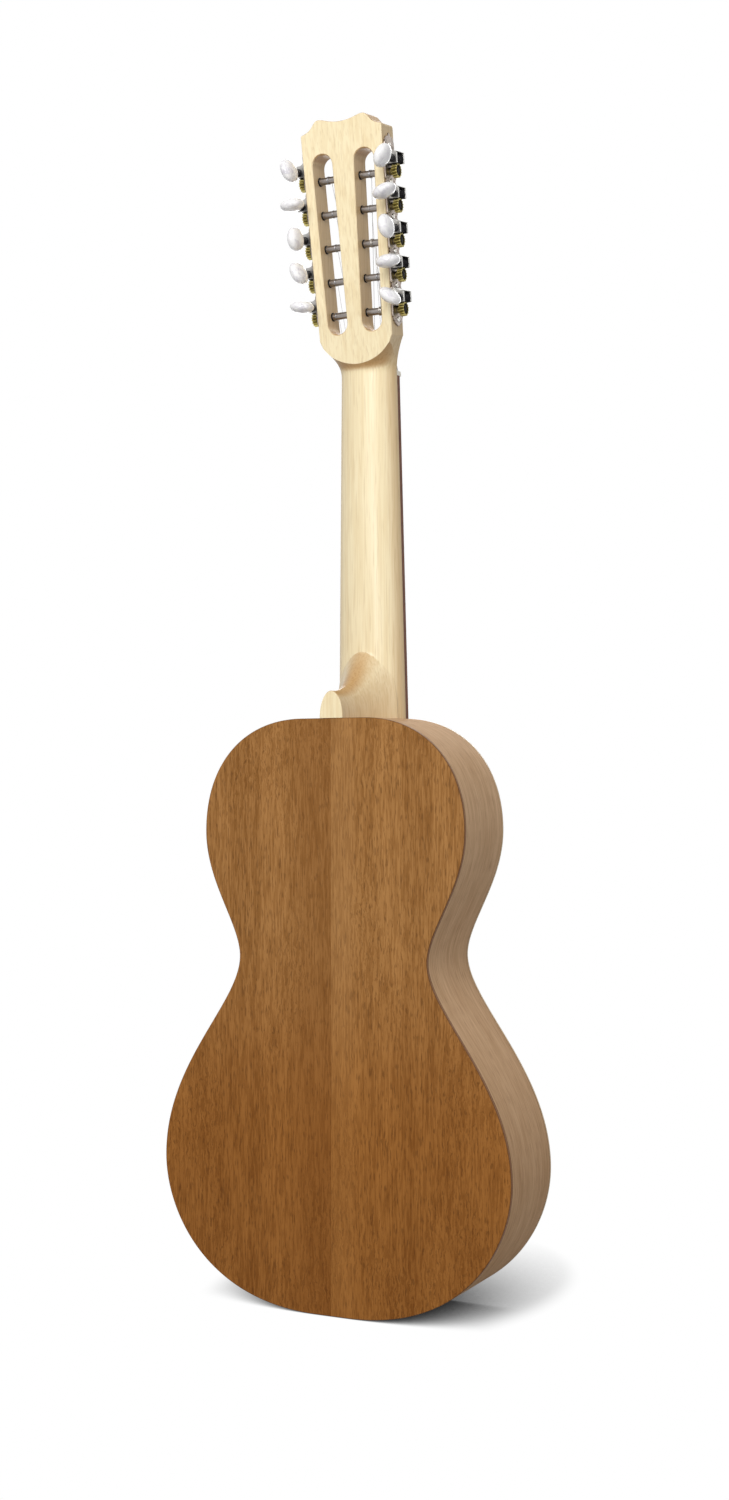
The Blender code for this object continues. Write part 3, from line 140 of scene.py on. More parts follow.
def spread(dense: list[Spot], steps: int) -> list[Spot]:
    """Points along a line that lie closer where it turns more.

    Args:
        dense: the line.
        steps: how many stretches the result has.

    Returns:
        The points.
    """
    weight, heading = [0.0], None
    for (x0, z0), (x1, z1) in zip(dense, dense[1:]):
        turned = math.atan2(z1 - z0, x1 - x0)
        bend = 0.0 if heading is None else abs(math.remainder(turned - heading, 2 * math.pi))
        heading = turned
        weight.append(weight[-1] + math.hypot(x1 - x0, z1 - z0) / 0.018 + bend / math.radians(9.0))
    points, place = [], 0
    for step in range(steps + 1):
        wanted = weight[-1] * step / steps
        while place < len(weight) - 2 and weight[place + 1] < wanted:
            place += 1
        share = (wanted - weight[place]) / (weight[place + 1] - weight[place])
        (x0, z0), (x1, z1) = dense[place], dense[place + 1]
        points.append((x0 + share * (x1 - x0), z0 + share * (z1 - z0)))
    return points


def shrink(points: Sequence[Spot], distance: float) -> list[Spot]:
    """A closed outline moved inwards, or outwards by a negative distance.

    Args:
        points: the outline.
        distance: how far.

    Returns:
        The moved outline, point by point.
    """
    area = sum(x0 * y1 - x1 * y0 for (x0, y0), (x1, y1) in zip(points, [*points[1:], points[0]]))
    turn = 1.0 if area > 0 else -1.0
    moved = []
    for before, here, after in zip([points[-1], *points[:-1]], points, [*points[1:], points[0]]):
        one = Vector((here[0] - before[0], here[1] - before[1])).normalized()
        two = Vector((after[0] - here[0], after[1] - here[1])).normalized()
        inward = turn * Vector((-one.y - two.y, one.x + two.x)).normalized()
        reach = distance / max(inward.dot(turn * Vector((-one.y, one.x))), 0.5)
        moved.append((here[0] + inward.x * reach, here[1] + inward.y * reach))
    return moved


@dataclass(frozen=True)
class Plan:
    """Sizes that more than one piece is built from, the same as the part's own."""

    length: float = 0.450
    lower_bout: Spot = (0.1466, 0.1103)
    waist: Spot = (0.0797, 0.2675)
    upper_bout: Spot = (0.1104, 0.3643)
    tail_flat: float = 0.014
    neck_flat: float = 0.0262
    reaches: tuple[float, ...] = (0.0496, 0.0532, 0.0406, 0.0245, 0.0365, 0.0722, 0.0463, 0.0951)
    front: float = -0.04055
    tail_depth: float = 0.0811
    heel_depth: float = 0.0722
    plate: float = 0.0026
    scale: float = 0.540
    nut: float = 0.720
    neck_halves: Spot = (0.0284, 0.0235)
    neck_depths: Spot = (0.0200, 0.0185)
    board: float = 0.0050
    glue: float = 0.0003
    lean: float = math.radians(8.29)
    head_thick: float = 0.0210
    head_halves: Spot = (0.0309, 0.0349)
    head_corner: float = 0.1884
    slot_width: float = 0.0173
    slot_ends: Spot = (0.0342, 0.1721)
    slot_places: Spot = (0.0150, 0.0180)
    posts: tuple[float, ...] = (0.0491, 0.0751, 0.1011, 0.1271, 0.1531)
    mesh_plane: float = 0.0060
    mesh_distance: float = 0.0085
    post_radius: float = 0.0028

    def half_line(self, steps: int) -> list[Spot]:
        """Points of one half of the body from the middle of the neck end to the middle of the tail."""
        neck, tail = (self.neck_flat, self.length), (self.tail_flat, 0.0)
        up, mid, low, r = self.upper_bout, self.waist, self.lower_bout, self.reaches
        curves = ((neck, (neck[0] + r[0], neck[1]), (up[0], up[1] + r[1]), up),
                  (up, (up[0], up[1] - r[2]), (mid[0], mid[1] + r[3]), mid),
                  (mid, (mid[0], mid[1] - r[4]), (low[0], low[1] + r[5]), low),
                  (low, (low[0], low[1] - r[6]), (tail[0] + r[7], 0.0), tail))
        dense = [curve_point(*curve, i / 100) for curve in curves for i in range(100)] + [tail]
        return [(0.0, self.length), *spread(dense, steps), (0.0, 0.0)]

    def inset(self, line: list[Spot], distance: float) -> list[Spot]:
        """A half line moved inwards, with its ends kept on the centre line."""
        closed = shrink([*line, *[(-x, z) for x, z in reversed(line[1:-1])]], distance)
        return closed[:len(line)]

    def back_y(self, z: float) -> float:
        """Where the back's outer face lies at a height."""
        return self.front + self.tail_depth + (self.heel_depth - self.tail_depth) / self.length * z

    def neck_share(self, z: float) -> float:
        """How far a height lies from the body's end to the nut."""
        return (z - self.length) / (self.nut - self.length)

    def neck_half(self, z: float) -> float:
        """Half the neck's width at a height."""
        low, high = self.neck_halves
        return low + self.neck_share(z) * (high - low)

    def neck_depth(self, z: float) -> float:
        """How far the neck's round back stands behind its front at a height."""
        low, high = self.neck_depths
        return low + self.neck_share(z) * (high - low)

    def fret_z(self, number: int) -> float:
        """The height of a fret."""
        return self.nut - self.scale * (1 - 2 ** (-number / 12))

    def head_half(self, along: float) -> float:
        """Half the head's width at a distance up its face."""
        low, high = self.head_halves
        return low + (high - low) / self.head_corner * along

    @property
    def slope(self) -> float:
        """How far the head's sides lean outwards."""
        return math.atan((self.head_halves[1] - self.head_halves[0]) / self.head_corner)

    def head(self) -> Matrix:
        """The leaning head's frame."""
        return Matrix.Translation((0.0, self.front, self.nut)) @ Matrix.Rotation(-self.lean, 4, "X")

    def side(self, side: Side) -> Matrix:
        """The frame of a side face of the head, unmirrored."""
        shift = Matrix.Translation((side.value * self.head_halves[0], 0.0, 0.0))
        return self.head() @ shift @ Matrix.Rotation(side.value * self.slope, 4, "Y")

    def machine(self, side: Side, along: float = 0.0, out: float = 0.0) -> Matrix:
        """From a machine's own axes (out, across, along) to the instrument, mirrored on the bass side."""
        middle = Matrix.Translation((side.value * out, self.head_thick / 2, along))
        return self.side(side) @ middle @ Matrix.Diagonal((side.value, 1.0, 1.0, 1.0))

    def slot_centre(self, along: float) -> float:
        """How far a slot's middle lies from the centre line at a distance up the head."""
        share = (along - self.slot_ends[0] - self.slot_width / 2)
        share /= self.slot_ends[1] - self.slot_ends[0] - self.slot_width
        return self.slot_places[0] + share * (self.slot_places[1] - self.slot_places[0])


PLAN = Plan()


# ---------------------------------------------------------------- the bench: tools of the modelling


def select_only(piece: Piece) -> None:
    """Select one object and make it the active one."""
    bpy.ops.object.select_all(action="DESELECT")
    piece.select_set(True)
    bpy.context.view_layer.objects.active = piece


def modify(piece: Piece, kind: str, **settings: Any) -> None:
    """Add a modifier, set it and apply it.

    Args:
        piece: the object.
        kind: the modifier's type.
        settings: its settings.
    """
    select_only(piece)
    made = piece.modifiers.new(kind.lower(), kind)
    for name, setting in settings.items():
        setattr(made, name, setting)
    bpy.ops.object.modifier_apply(modifier=made.name)


def carve(piece: Piece, tool: Piece, operation: str = "DIFFERENCE") -> None:
    """Cut, join or trim a piece by another, which is used up.

    Args:
        piece: the piece that stays.
        tool: the other.
        operation: DIFFERENCE, UNION or INTERSECT.
    """
    modify(piece, "BOOLEAN", object=tool, operation=operation, solver="EXACT")
    bpy.data.objects.remove(tool, do_unlink=True)


def shade(piece: Piece, degrees: float = 32.0, weighted: bool = True) -> Piece:
    """Shade the round parts smooth and keep the flat faces flat.

    Args:
        piece: the object.
        degrees: the angle above which an edge stays sharp.
        weighted: whether large faces pull the normals.

    Returns:
        The same piece.
    """
    select_only(piece)
    bpy.ops.object.shade_smooth_by_angle(angle=math.radians(degrees))
    if weighted:
        modify(piece, "WEIGHTED_NORMAL", keep_sharp=True, weight=90)
    return piece


def tidy(piece: Piece, threshold: float = 1e-6) -> None:
    """Merge doubles and turn all faces outwards.

    Args:
        piece: the object.
        threshold: how close two vertices are one.
    """
    select_only(piece)
    bpy.ops.object.mode_set(mode="EDIT")
    bpy.ops.mesh.select_all(action="SELECT")
    bpy.ops.mesh.remove_doubles(threshold=threshold)
    bpy.ops.mesh.normals_make_consistent(inside=False)
    bpy.ops.object.mode_set(mode="OBJECT")


def joined(pieces: Sequence[Piece], name: str) -> Piece:
    """Join objects into one.

    Args:
        pieces: the objects, at least one.
        name: the name of the result.

    Returns:
        The joined object.
    """
    select_only(pieces[0])
    for piece in pieces:
        piece.select_set(True)
    if len(pieces) > 1:
        bpy.ops.object.join()
    pieces[0].name = pieces[0].data.name = name
    return pieces[0]


def copied(master: Piece, name: str, matrix: Matrix) -> Piece:
    """Copy a piece with its own mesh to a place.

    Args:
        master: the piece that was modelled once.
        name: the copy's name.
        matrix: its place, which may mirror it.

    Returns:
        The copy.
    """
    select_only(master)
    bpy.ops.object.duplicate(linked=False)
    made = bpy.context.active_object
    made.name = made.data.name = name
    made.data.transform(matrix)
    if matrix.determinant() < 0:
        made.data.flip_normals()
    return made


def scrap(*pieces: Piece) -> None:
    """Remove masters that were only there to be copied."""
    for piece in pieces:
        bpy.data.objects.remove(piece, do_unlink=True)


class Skin:
    """A closed skin that is started from a circle and drawn out ring by ring in edit mode."""

    def __init__(self, name: str, ring: Sequence[Iterable[float]], filled: bool = True) -> None:
        """Add a circle and put its vertices on the first ring.

        Args:
            name: the piece's name.
            ring: the first ring.
            filled: whether its ends are closed by faces.
        """
        bpy.ops.object.select_all(action="DESELECT")
        bpy.ops.mesh.primitive_circle_add(vertices=len(ring), radius=1.0,
                                          fill_type="NGON" if filled else "NOTHING")
        self.piece = bpy.context.active_object
        self.piece.name = self.piece.data.name = name
        bpy.ops.object.mode_set(mode="EDIT")
        shape = bmesh.from_edit_mesh(self.piece.data)
        shape.verts.ensure_lookup_table()
        for vert, place in zip(shape.verts, ring):
            vert.co = place
        self.spots = [tuple(vert.co) for vert in shape.verts]

    def draw(self, *rings: Sequence[Iterable[float]]) -> "Skin":
        """Extrude the open end to each ring in turn.

        Args:
            rings: rings with as many points as the first, in the same order.

        Returns:
            The same skin.
        """
        for ring in rings:
            bpy.ops.mesh.extrude_region()
            shape = bmesh.from_edit_mesh(self.piece.data)
            goal = {spot: Vector(place) for spot, place in zip(self.spots, ring)}
            order = {spot: i for i, spot in enumerate(self.spots)}
            fresh = [(order[tuple(vert.co)], vert) for vert in shape.verts if vert.select]
            for _, vert in fresh:
                vert.co = goal[tuple(vert.co)]
            self.spots = [tuple(vert.co) for _, vert in sorted(fresh, key=lambda pair: pair[0])]
        bmesh.update_edit_mesh(self.piece.data)
        return self

    def done(self, degrees: float | None = 32.0, weighted: bool = True) -> Piece:
        """Leave edit mode with doubles merged, faces outwards and the shading set.

        Args:
            degrees: the angle above which an edge stays sharp, or None to leave the shading.
            weighted: whether large faces pull the normals.

        Returns:
            The piece.
        """
        bpy.ops.object.mode_set(mode="OBJECT")
        tidy(self.piece)
        return self.piece if degrees is None else shade(self.piece, degrees, weighted)


def levels_of(low: float, high: float, radius: float, steps: int,
              ends: tuple[bool, bool] = (True, True)) -> list[Spot]:
    """Levels and insets of a slab with rounded edges.

    Args:
        low: its lower level.
        high: its upper level.
        radius: the edges' radius.
        steps: faces round an edge.
        ends: whether each end is rounded.

    Returns:
        Pairs of level and inset.
    """
    turns = [math.pi / 2 * i / steps for i in range(steps, -1, -1)]
    way = math.copysign(1.0, high - low)
    curl = [(radius * (1 - math.sin(turn)), radius * (1 - math.cos(turn))) for turn in turns]
    start = [(low + way * rise, inset) for rise, inset in curl] if ends[0] else [(low, 0.0)]
    stop = [(high - way * rise, inset) for rise, inset in reversed(curl)] if ends[1] else [(high, 0.0)]
    return [*start, *stop]


def slab(name: str, points: Sequence[Spot], levels: Sequence[Spot],
         place: Callable[[Spot, float], Iterable[float]], matrix: Matrix | None = None) -> Piece:
    """A solid of a closed outline at several levels.

    Args:
        name: the piece's name.
        points: the outline.
        levels: pairs of level and inset.
        place: turns a point of the outline and a level into a place.
        matrix: where that place lies, if not in the instrument's own frame.

    Returns:
        The piece, with its shading unset.
    """
    turn = matrix or Matrix.Identity(4)
    rings = [[turn @ Vector(place(spot, level)) for spot in (shrink(points, inset) if inset else points)]
             for level, inset in levels]
    return Skin(name, rings[0]).draw(*rings[1:]).done(None)


def ribbon(name: str, outer: Sequence[Spot], inner: Sequence[Spot], low: Callable[[float], float],
           high: Callable[[float], float], closed: bool = False) -> Piece:
    """A strip between two lines of points in plan, from one face to another.

    Args:
        name: the piece's name.
        outer: the outer line.
        inner: the inner line.
        low: the y of its front at a height.
        high: the y of its back at a height.
        closed: whether it runs back into its start.

    Returns:
        The piece, with its shading unset.
    """
    rings = [[(x0, low(z0), z0), (x0, high(z0), z0), (x1, high(z1), z1), (x1, low(z1), z1)]
             for (x0, z0), (x1, z1) in zip(outer, inner)]
    if closed:
        rings.append(rings[0])
    return Skin(name, rings[0], filled=not closed).draw(*rings[1:]).done(None)


def turned(name: str, stations: Sequence[Spot], sides: int, axis: str = "X", matrix: Matrix | None = None) -> Piece:
    """A turned piece: rings of given radius at given places along an axis.

    Args:
        name: the piece's name.
        stations: pairs of place and radius.
        sides: faces round it.
        axis: X, Y or Z.
        matrix: where it lies, if not at the origin.

    Returns:
        The piece, with its shading unset.
    """
    turn = matrix or Matrix.Identity(4)

    def ring(place: float, radius: float) -> list[Vector]:
        """One ring about the axis."""
        made = []
        for i in range(sides):
            angle = 2 * math.pi * i / sides
            one, two = radius * math.cos(angle), radius * math.sin(angle)
            made.append(turn @ Vector({"X": (place, one, two), "Y": (two, place, one),
                                       "Z": (one, two, place)}[axis]))
        return made

    rings = [ring(place, radius) for place, radius in stations]
    return Skin(name, rings[0]).draw(*rings[1:]).done(None)


def wire(name: str, path: Sequence[Vector], radii: Sequence[float] | float, sides: int = 8) -> Piece:
    """A round wire along a path.

    Args:
        name: the piece's name.
        path: its centre line.
        radii: its radius, or one for each point.
        sides: faces round it.

    Returns:
        The piece, shaded smooth.
    """
    sizes = [radii] * len(path) if isinstance(radii, float) else radii
    ways = [(after - before).normalized() for before, after in
            zip([path[0], *path[:-1]], [*path[1:], path[-1]])]
    across = ways[0].orthogonal().normalized()
    rings = []
    for spot, way, size, before in zip(path, ways, sizes, [ways[0], *ways[:-1]]):
        across = before.rotation_difference(way) @ across
        across = (across - way * across.dot(way)).normalized()
        up = way.cross(across)
        rings.append([spot + size * (math.cos(2 * math.pi * i / sides) * across
                                     + math.sin(2 * math.pi * i / sides) * up) for i in range(sides)])
    return Skin(name, rings[0]).draw(*rings[1:]).done(50.0, weighted=False)


# ---------------------------------------------------------------- finishes


class Sheet:
    """A node tree that is written one named node at a time."""

    def __init__(self, tree: bpy.types.NodeTree) -> None:
        """Keep the tree."""
        self.tree = tree

    def add(self, kind: str, values: dict[str | int, Any] | None = None,
            **settings: Any) -> bpy.types.Node:
        """Add a node.

        Args:
            kind: the node's type without its ShaderNode prefix.
            values: numbers, colours or other nodes' sockets for its inputs.
            settings: the node's own settings.

        Returns:
            The node.
        """
        made = self.tree.nodes.new(kind if kind.startswith("Node") else f"ShaderNode{kind}")
        for name, setting in settings.items():
            setattr(made, name, setting)
        for name, value in (values or {}).items():
            if isinstance(value, bpy.types.NodeSocket):
                self.tree.links.new(value, made.inputs[name])
            else:
                made.inputs[name].default_value = value
        return made

    def math(self, operation: str, first: Any, second: Any = 0.0, third: Any = 0.0) -> bpy.types.NodeSocket:
        """The result of a sum of up to three values.

        Args:
            operation: the Math node's operation.
            first: a number or a socket.
            second: a number or a socket.
            third: a number or a socket.

        Returns:
            The socket of the result.
        """
        return self.add("Math", {0: first, 1: second, 2: third}, operation=operation).outputs[0]

    def mix(self, share: Any, low: Any, high: Any) -> bpy.types.NodeSocket:
        """A colour between two colours.

        Args:
            share: how much of the second colour shows.
            low: the first colour.
            high: the second colour.

        Returns:
            The socket of the colour.
        """
        return self.add("Mix", {0: share, 6: low, 7: high}, data_type="RGBA").outputs[2]

    def ramp(self, value: Any, low: float, high: float) -> bpy.types.NodeSocket:
        """A value stretched so that low is 0 and high is 1, and cut off there.

        Args:
            value: the socket to stretch.
            low: what becomes 0.
            high: what becomes 1.

        Returns:
            The socket of the result.
        """
        return self.add("MapRange", {"Value": value, "From Min": low, "From Max": high},
                        interpolation_type="SMOOTHSTEP").outputs[0]

    def noise(self, vector: Any, detail: float = 2.0, warp: float = 0.0) -> bpy.types.NodeSocket:
        """Noise at scale 1 of a vector that is already scaled.

        Args:
            vector: the place.
            detail: the noise's detail.
            warp: the noise's distortion.

        Returns:
            The socket of its value.
        """
        return self.add("TexNoise", {"Vector": vector, "Scale": 1.0, "Detail": detail,
                                     "Distortion": warp}).outputs[0]

    def times(self, vector: Any, scale: Colour) -> bpy.types.NodeSocket:
        """A vector with each part multiplied."""
        return self.add("VectorMath", {0: vector, 1: scale}, operation="MULTIPLY").outputs[0]

    def group(self, tree: bpy.types.NodeTree, values: dict[str, Any]) -> bpy.types.Node:
        """A placed node group with its values."""
        return self.add("Group", None, node_tree=tree) if not values else self.fill(
            self.add("Group", None, node_tree=tree), values)

    def fill(self, node: bpy.types.Node, values: dict[str, Any]) -> bpy.types.Node:
        """Set or link a node's inputs by name."""
        for name, value in values.items():
            if isinstance(value, bpy.types.NodeSocket):
                self.tree.links.new(value, node.inputs[name])
            else:
                node.inputs[name].default_value = value
        return node


def rgba(colour: Colour) -> tuple[float, float, float, float]:
    """A colour with full alpha."""
    return (*colour, 1.0)


def new_group(name: str, inputs: dict[str, tuple[str, Any]], outputs: dict[str, str]) -> Sheet:
    """Start a node group with named sockets.

    Args:
        name: the group's name.
        inputs: socket name to its type and default.
        outputs: socket name to its type.

    Returns:
        A sheet on the group's tree.
    """
    tree = bpy.data.node_groups.new(name, "ShaderNodeTree")
    for label, (kind, value) in inputs.items():
        made = tree.interface.new_socket(label, in_out="INPUT", socket_type=f"NodeSocket{kind}")
        if value is not None:
            made.default_value = value
    for label, kind in outputs.items():
        tree.interface.new_socket(label, in_out="OUTPUT", socket_type=f"NodeSocket{kind}")
    return Sheet(tree)


def build_grain_group() -> bpy.types.NodeTree:
    """Grain of a planed board along Z: stripes, fine lines, short dark pores and pale flecks.

    Returns:
        The group's tree, with Color, Pores and Height.
    """
    sheet = new_group(
        "board_grain",
        {"Vector": ("Vector", None), "Pale": ("Color", rgba((0.6, 0.4, 0.2))),
         "Deep": ("Color", rgba((0.4, 0.2, 0.1))), "Pore": ("Color", rgba((0.2, 0.1, 0.05))),
         "Stripes": ("Float", 60.0), "Lines": ("Float", 900.0), "Flecks": ("Float", 0.5),
         "Dash": ("Float", 0.15), "Curl": ("Float", 0.0)},
        {"Color": "Color", "Pores": "Float", "Height": "Float"})
    given = sheet.add("NodeGroupInput")
    straight, stripes, lines = (given.outputs[name] for name in ("Vector", "Stripes", "Lines"))
    drift = sheet.add("TexNoise", {"Vector": sheet.times(straight, (190.0, 190.0, 130.0)), "Scale": 1.0,
                                   "Detail": 3.0}).outputs[1]
    where = sheet.ramp(sheet.noise(sheet.times(straight, (16.0, 16.0, 7.0)), 1.0), 0.42, 0.62)
    swing = sheet.add("VectorMath", {0: drift, 1: (0.5, 0.5, 0.5)}, operation="SUBTRACT").outputs[0]
    curl = sheet.math("MULTIPLY", where, given.outputs["Curl"])
    place = sheet.add("VectorMath", {0: swing, 1: sheet.add("CombineXYZ", {0: curl, 1: curl}).outputs[0],
                                     2: straight}, operation="MULTIPLY_ADD").outputs[0]

    def along(across: Any, share: Any) -> bpy.types.NodeSocket:
        """A place scaled by a number across the grain and a share of it along the grain."""
        scale = sheet.add("CombineXYZ", {0: across, 1: across, 2: sheet.math("MULTIPLY", across, share)})
        return sheet.add("VectorMath", {0: place, 1: scale.outputs[0]}, operation="MULTIPLY").outputs[0]

    cloud = sheet.noise(along(sheet.math("MULTIPLY", stripes, 0.45), 0.35), 2.0, 0.3)
    broad = sheet.noise(along(stripes, 0.045), 2.0, 0.4)
    ribbon_tone = sheet.noise(along(sheet.math("MULTIPLY", stripes, 3.1), 0.09), 3.0, 0.2)
    fine = sheet.noise(along(lines, sheet.math("MULTIPLY", given.outputs["Dash"], 0.45)), 3.0)
    dash = sheet.noise(along(sheet.math("MULTIPLY", lines, 1.3), given.outputs["Dash"]), 1.0)
    glint = sheet.noise(along(sheet.math("MULTIPLY", lines, 0.8), given.outputs["Dash"]), 1.0)
    tone = sheet.math("MULTIPLY", sheet.ramp(cloud, 0.3, 0.7), 0.16)
    for value, low, high, share in ((broad, 0.34, 0.66, 0.20), (ribbon_tone, 0.34, 0.66, 0.24),
                                    (fine, 0.42, 0.58, 0.42)):
        tone = sheet.math("MULTIPLY_ADD", sheet.ramp(value, low, high), share, tone)
    body = sheet.mix(tone, given.outputs["Pale"], given.outputs["Deep"])
    lit = sheet.math("MULTIPLY", sheet.ramp(glint, 0.57, 0.70), sheet.math("MULTIPLY", given.outputs["Flecks"], 0.7))
    body = sheet.mix(lit, body, given.outputs["Pale"])
    pores = sheet.math("MULTIPLY", sheet.ramp(dash, 0.56, 0.68), given.outputs["Flecks"])
    colour = sheet.mix(pores, body, given.outputs["Pore"])
    height = sheet.math("SUBTRACT", sheet.math("MULTIPLY", fine, 0.3), pores)
    sheet.add("NodeGroupOutput", {"Color": colour, "Pores": pores, "Height": height})
    return sheet.tree


def build_wear_group() -> bpy.types.NodeTree:
    """Faint cloudiness of a handled surface, for roughness and a breath of dust.

    Returns:
        The group's tree, with Roughness and Dust.
    """
    sheet = new_group("polish_wear", {"Vector": ("Vector", None), "Roughness": ("Float", 0.35),
                                      "Spread": ("Float", 0.08)},
                      {"Roughness": "Float", "Dust": "Float"})
    given = sheet.add("NodeGroupInput")
    cloud = sheet.noise(sheet.times(given.outputs["Vector"], (38.0, 38.0, 38.0)), 4.0)
    rub = sheet.noise(sheet.times(given.outputs["Vector"], (420.0, 420.0, 160.0)), 3.0)
    both = sheet.math("MULTIPLY_ADD", cloud, 0.6, sheet.math("MULTIPLY", rub, 0.4))
    swing = sheet.math("MULTIPLY", sheet.math("SUBTRACT", both, 0.5),
                       sheet.math("MULTIPLY", given.outputs["Spread"], 2.0))
    rough = sheet.math("ADD", given.outputs["Roughness"], swing)
    sheet.add("NodeGroupOutput", {"Roughness": rough, "Dust": sheet.ramp(cloud, 0.5, 0.8)})
    return sheet.tree


def build_turned_group() -> bpy.types.NodeTree:
    """Faces across the grain (up, down) darker as end grain and painted shade; faces turned sideways: painted shade.

    Returns:
        The group's tree, with End and Flank.
    """
    sheet = new_group("end_grain_and_side_shade", {"Normal": ("Vector", None)}, {"End": "Float", "Flank": "Float"})
    parts = sheet.add("SeparateXYZ", {0: sheet.add("NodeGroupInput").outputs["Normal"]})
    # Faces turned up or down across the grain: end grain, and painted shade.
    end = sheet.ramp(sheet.math("ABSOLUTE", parts.outputs[2]), 0.18, 0.72)
    # Painted shade: faces turned sideways (towards ±X) are darkened where the side light falls off.
    flank = sheet.ramp(sheet.math("ABSOLUTE", parts.outputs[0]), 0.58, 0.97)
    sheet.add("NodeGroupOutput", {"End": end, "Flank": flank})
    return sheet.tree


def build_joint_group() -> bpy.types.NodeTree:
    """Plates meeting ribs: a dark line of glue and painted shade, painted shade on rounded edges, and end grain.

    Returns:
        The group's tree, with Line and Edge.
    """
    sheet = new_group("glue_joint", {"Vector": ("Vector", None)}, {"Line": "Float", "Edge": "Float"})
    given = sheet.add("NodeGroupInput")
    parts = sheet.add("SeparateXYZ", {0: given.outputs["Vector"]})
    slope = (PLAN.heel_depth - PLAN.tail_depth) / PLAN.length
    back = sheet.math("SUBTRACT", sheet.math("MULTIPLY_ADD", parts.outputs[2], slope, PLAN.back_y(0.0)),
                      parts.outputs[1])
    front = sheet.math("SUBTRACT", parts.outputs[1], PLAN.front)
    near = sheet.math("MINIMUM", back, front)
    off = sheet.math("ABSOLUTE", sheet.math("SUBTRACT", near, PLAN.plate + PLAN.glue / 2))
    low = sheet.math("MULTIPLY_ADD", sheet.ramp(parts.outputs[2], 0.36, 0.30), 0.45, 0.55)
    # A dark line at the joint: glue, and painted shade in the gap between plate and rib.
    seam = sheet.math("MULTIPLY", sheet.ramp(off, 0.00065, 0.00025), low)
    # Painted shade: a dark line on the plates' rounded edges.
    rim = sheet.ramp(sheet.math("ABSOLUTE", sheet.math("SUBTRACT", near, 0.0006)), 0.00065, 0.00035)
    line = sheet.math("MAXIMUM", seam, rim)
    edge = sheet.math("MULTIPLY", sheet.ramp(near, 0.0001, 0.0005), sheet.ramp(near, 0.0027, 0.0025))
    sheet.add("NodeGroupOutput", {"Line": line, "Edge": edge})
    return sheet.tree


def build_scroll_group() -> bpy.types.NodeTree:
    """Engraved scrollwork on a side plate, in the plate's own axes.

    Returns:
        The group's tree, with Cut.
    """
    sheet = new_group("scroll_engraving", {"Vector": ("Vector", None)}, {"Cut": "Float"})
    given = sheet.add("NodeGroupInput")
    parts = sheet.add("SeparateXYZ", {0: given.outputs["Vector"]})
    across = sheet.math("ABSOLUTE", sheet.math("SUBTRACT", parts.outputs[1], PLAN.head_thick / 2))
    pitch = PLAN.posts[1] - PLAN.posts[0]
    along = sheet.math("PINGPONG", sheet.math("SUBTRACT", parts.outputs[2], PLAN.posts[0] - 4 * pitch), pitch / 2)

    def scroll(u: float, v: float, size: float, step: float, way: float) -> bpy.types.NodeSocket:
        """A spiral line that winds in to a middle."""
        dx, dy = sheet.math("SUBTRACT", across, u), sheet.math("SUBTRACT", along, v)
        far = sheet.math("SQRT", sheet.math("MULTIPLY_ADD", dx, dx, sheet.math("MULTIPLY", dy, dy)))
        turn = sheet.math("MULTIPLY", sheet.math("ARCTAN2", dy, dx), way / (2 * math.pi))
        phase = sheet.math("FRACT", sheet.math("MULTIPLY_ADD", far, 1.0 / step, turn))
        line = sheet.ramp(sheet.math("ABSOLUTE", sheet.math("SUBTRACT", phase, 0.5)), 0.27, 0.12)
        return sheet.math("MULTIPLY", line, sheet.ramp(far, size, size - 0.0003))

    cut = scroll(0.0052, 0.0092, 0.0032, 0.0012, 1.0)
    cut = sheet.math("MAXIMUM", cut, scroll(0.0024, 0.0125, 0.0021, 0.0009, -1.0))
    cut = sheet.math("MAXIMUM", cut, scroll(0.0066, 0.0040, 0.0019, 0.0009, -1.0))
    border = sheet.ramp(sheet.math("ABSOLUTE", sheet.math("SUBTRACT", across, 0.0084)), 0.00022, 0.00008)
    cut = sheet.math("MAXIMUM", cut, border)
    lift = sheet.math("SUBTRACT", along, 0.0076)
    far = sheet.math("SQRT", sheet.math("MULTIPLY_ADD", across, across, sheet.math("MULTIPLY", lift, lift)))
    cut = sheet.math("MAXIMUM", cut, sheet.ramp(sheet.math("ABSOLUTE", sheet.math("SUBTRACT", far, 0.0021)),
                                                0.0005, 0.0003))
    sheet.add("NodeGroupOutput", {"Cut": cut})
    return sheet.tree


class Finish:
    """What every finish shares: a named material with its Principled shader."""

    name: str

    def start(self) -> tuple[bpy.types.Material, Sheet, bpy.types.Node, bpy.types.NodeSocket]:
        """Start the material.

        Returns:
            The material, its sheet, its shader and the socket of the place on the object.
        """
        made = bpy.data.materials.new(self.name)
        made.use_nodes = True
        sheet = Sheet(made.node_tree)
        return made, sheet, made.node_tree.nodes["Principled BSDF"], sheet.add("TexCoord").outputs["Object"]


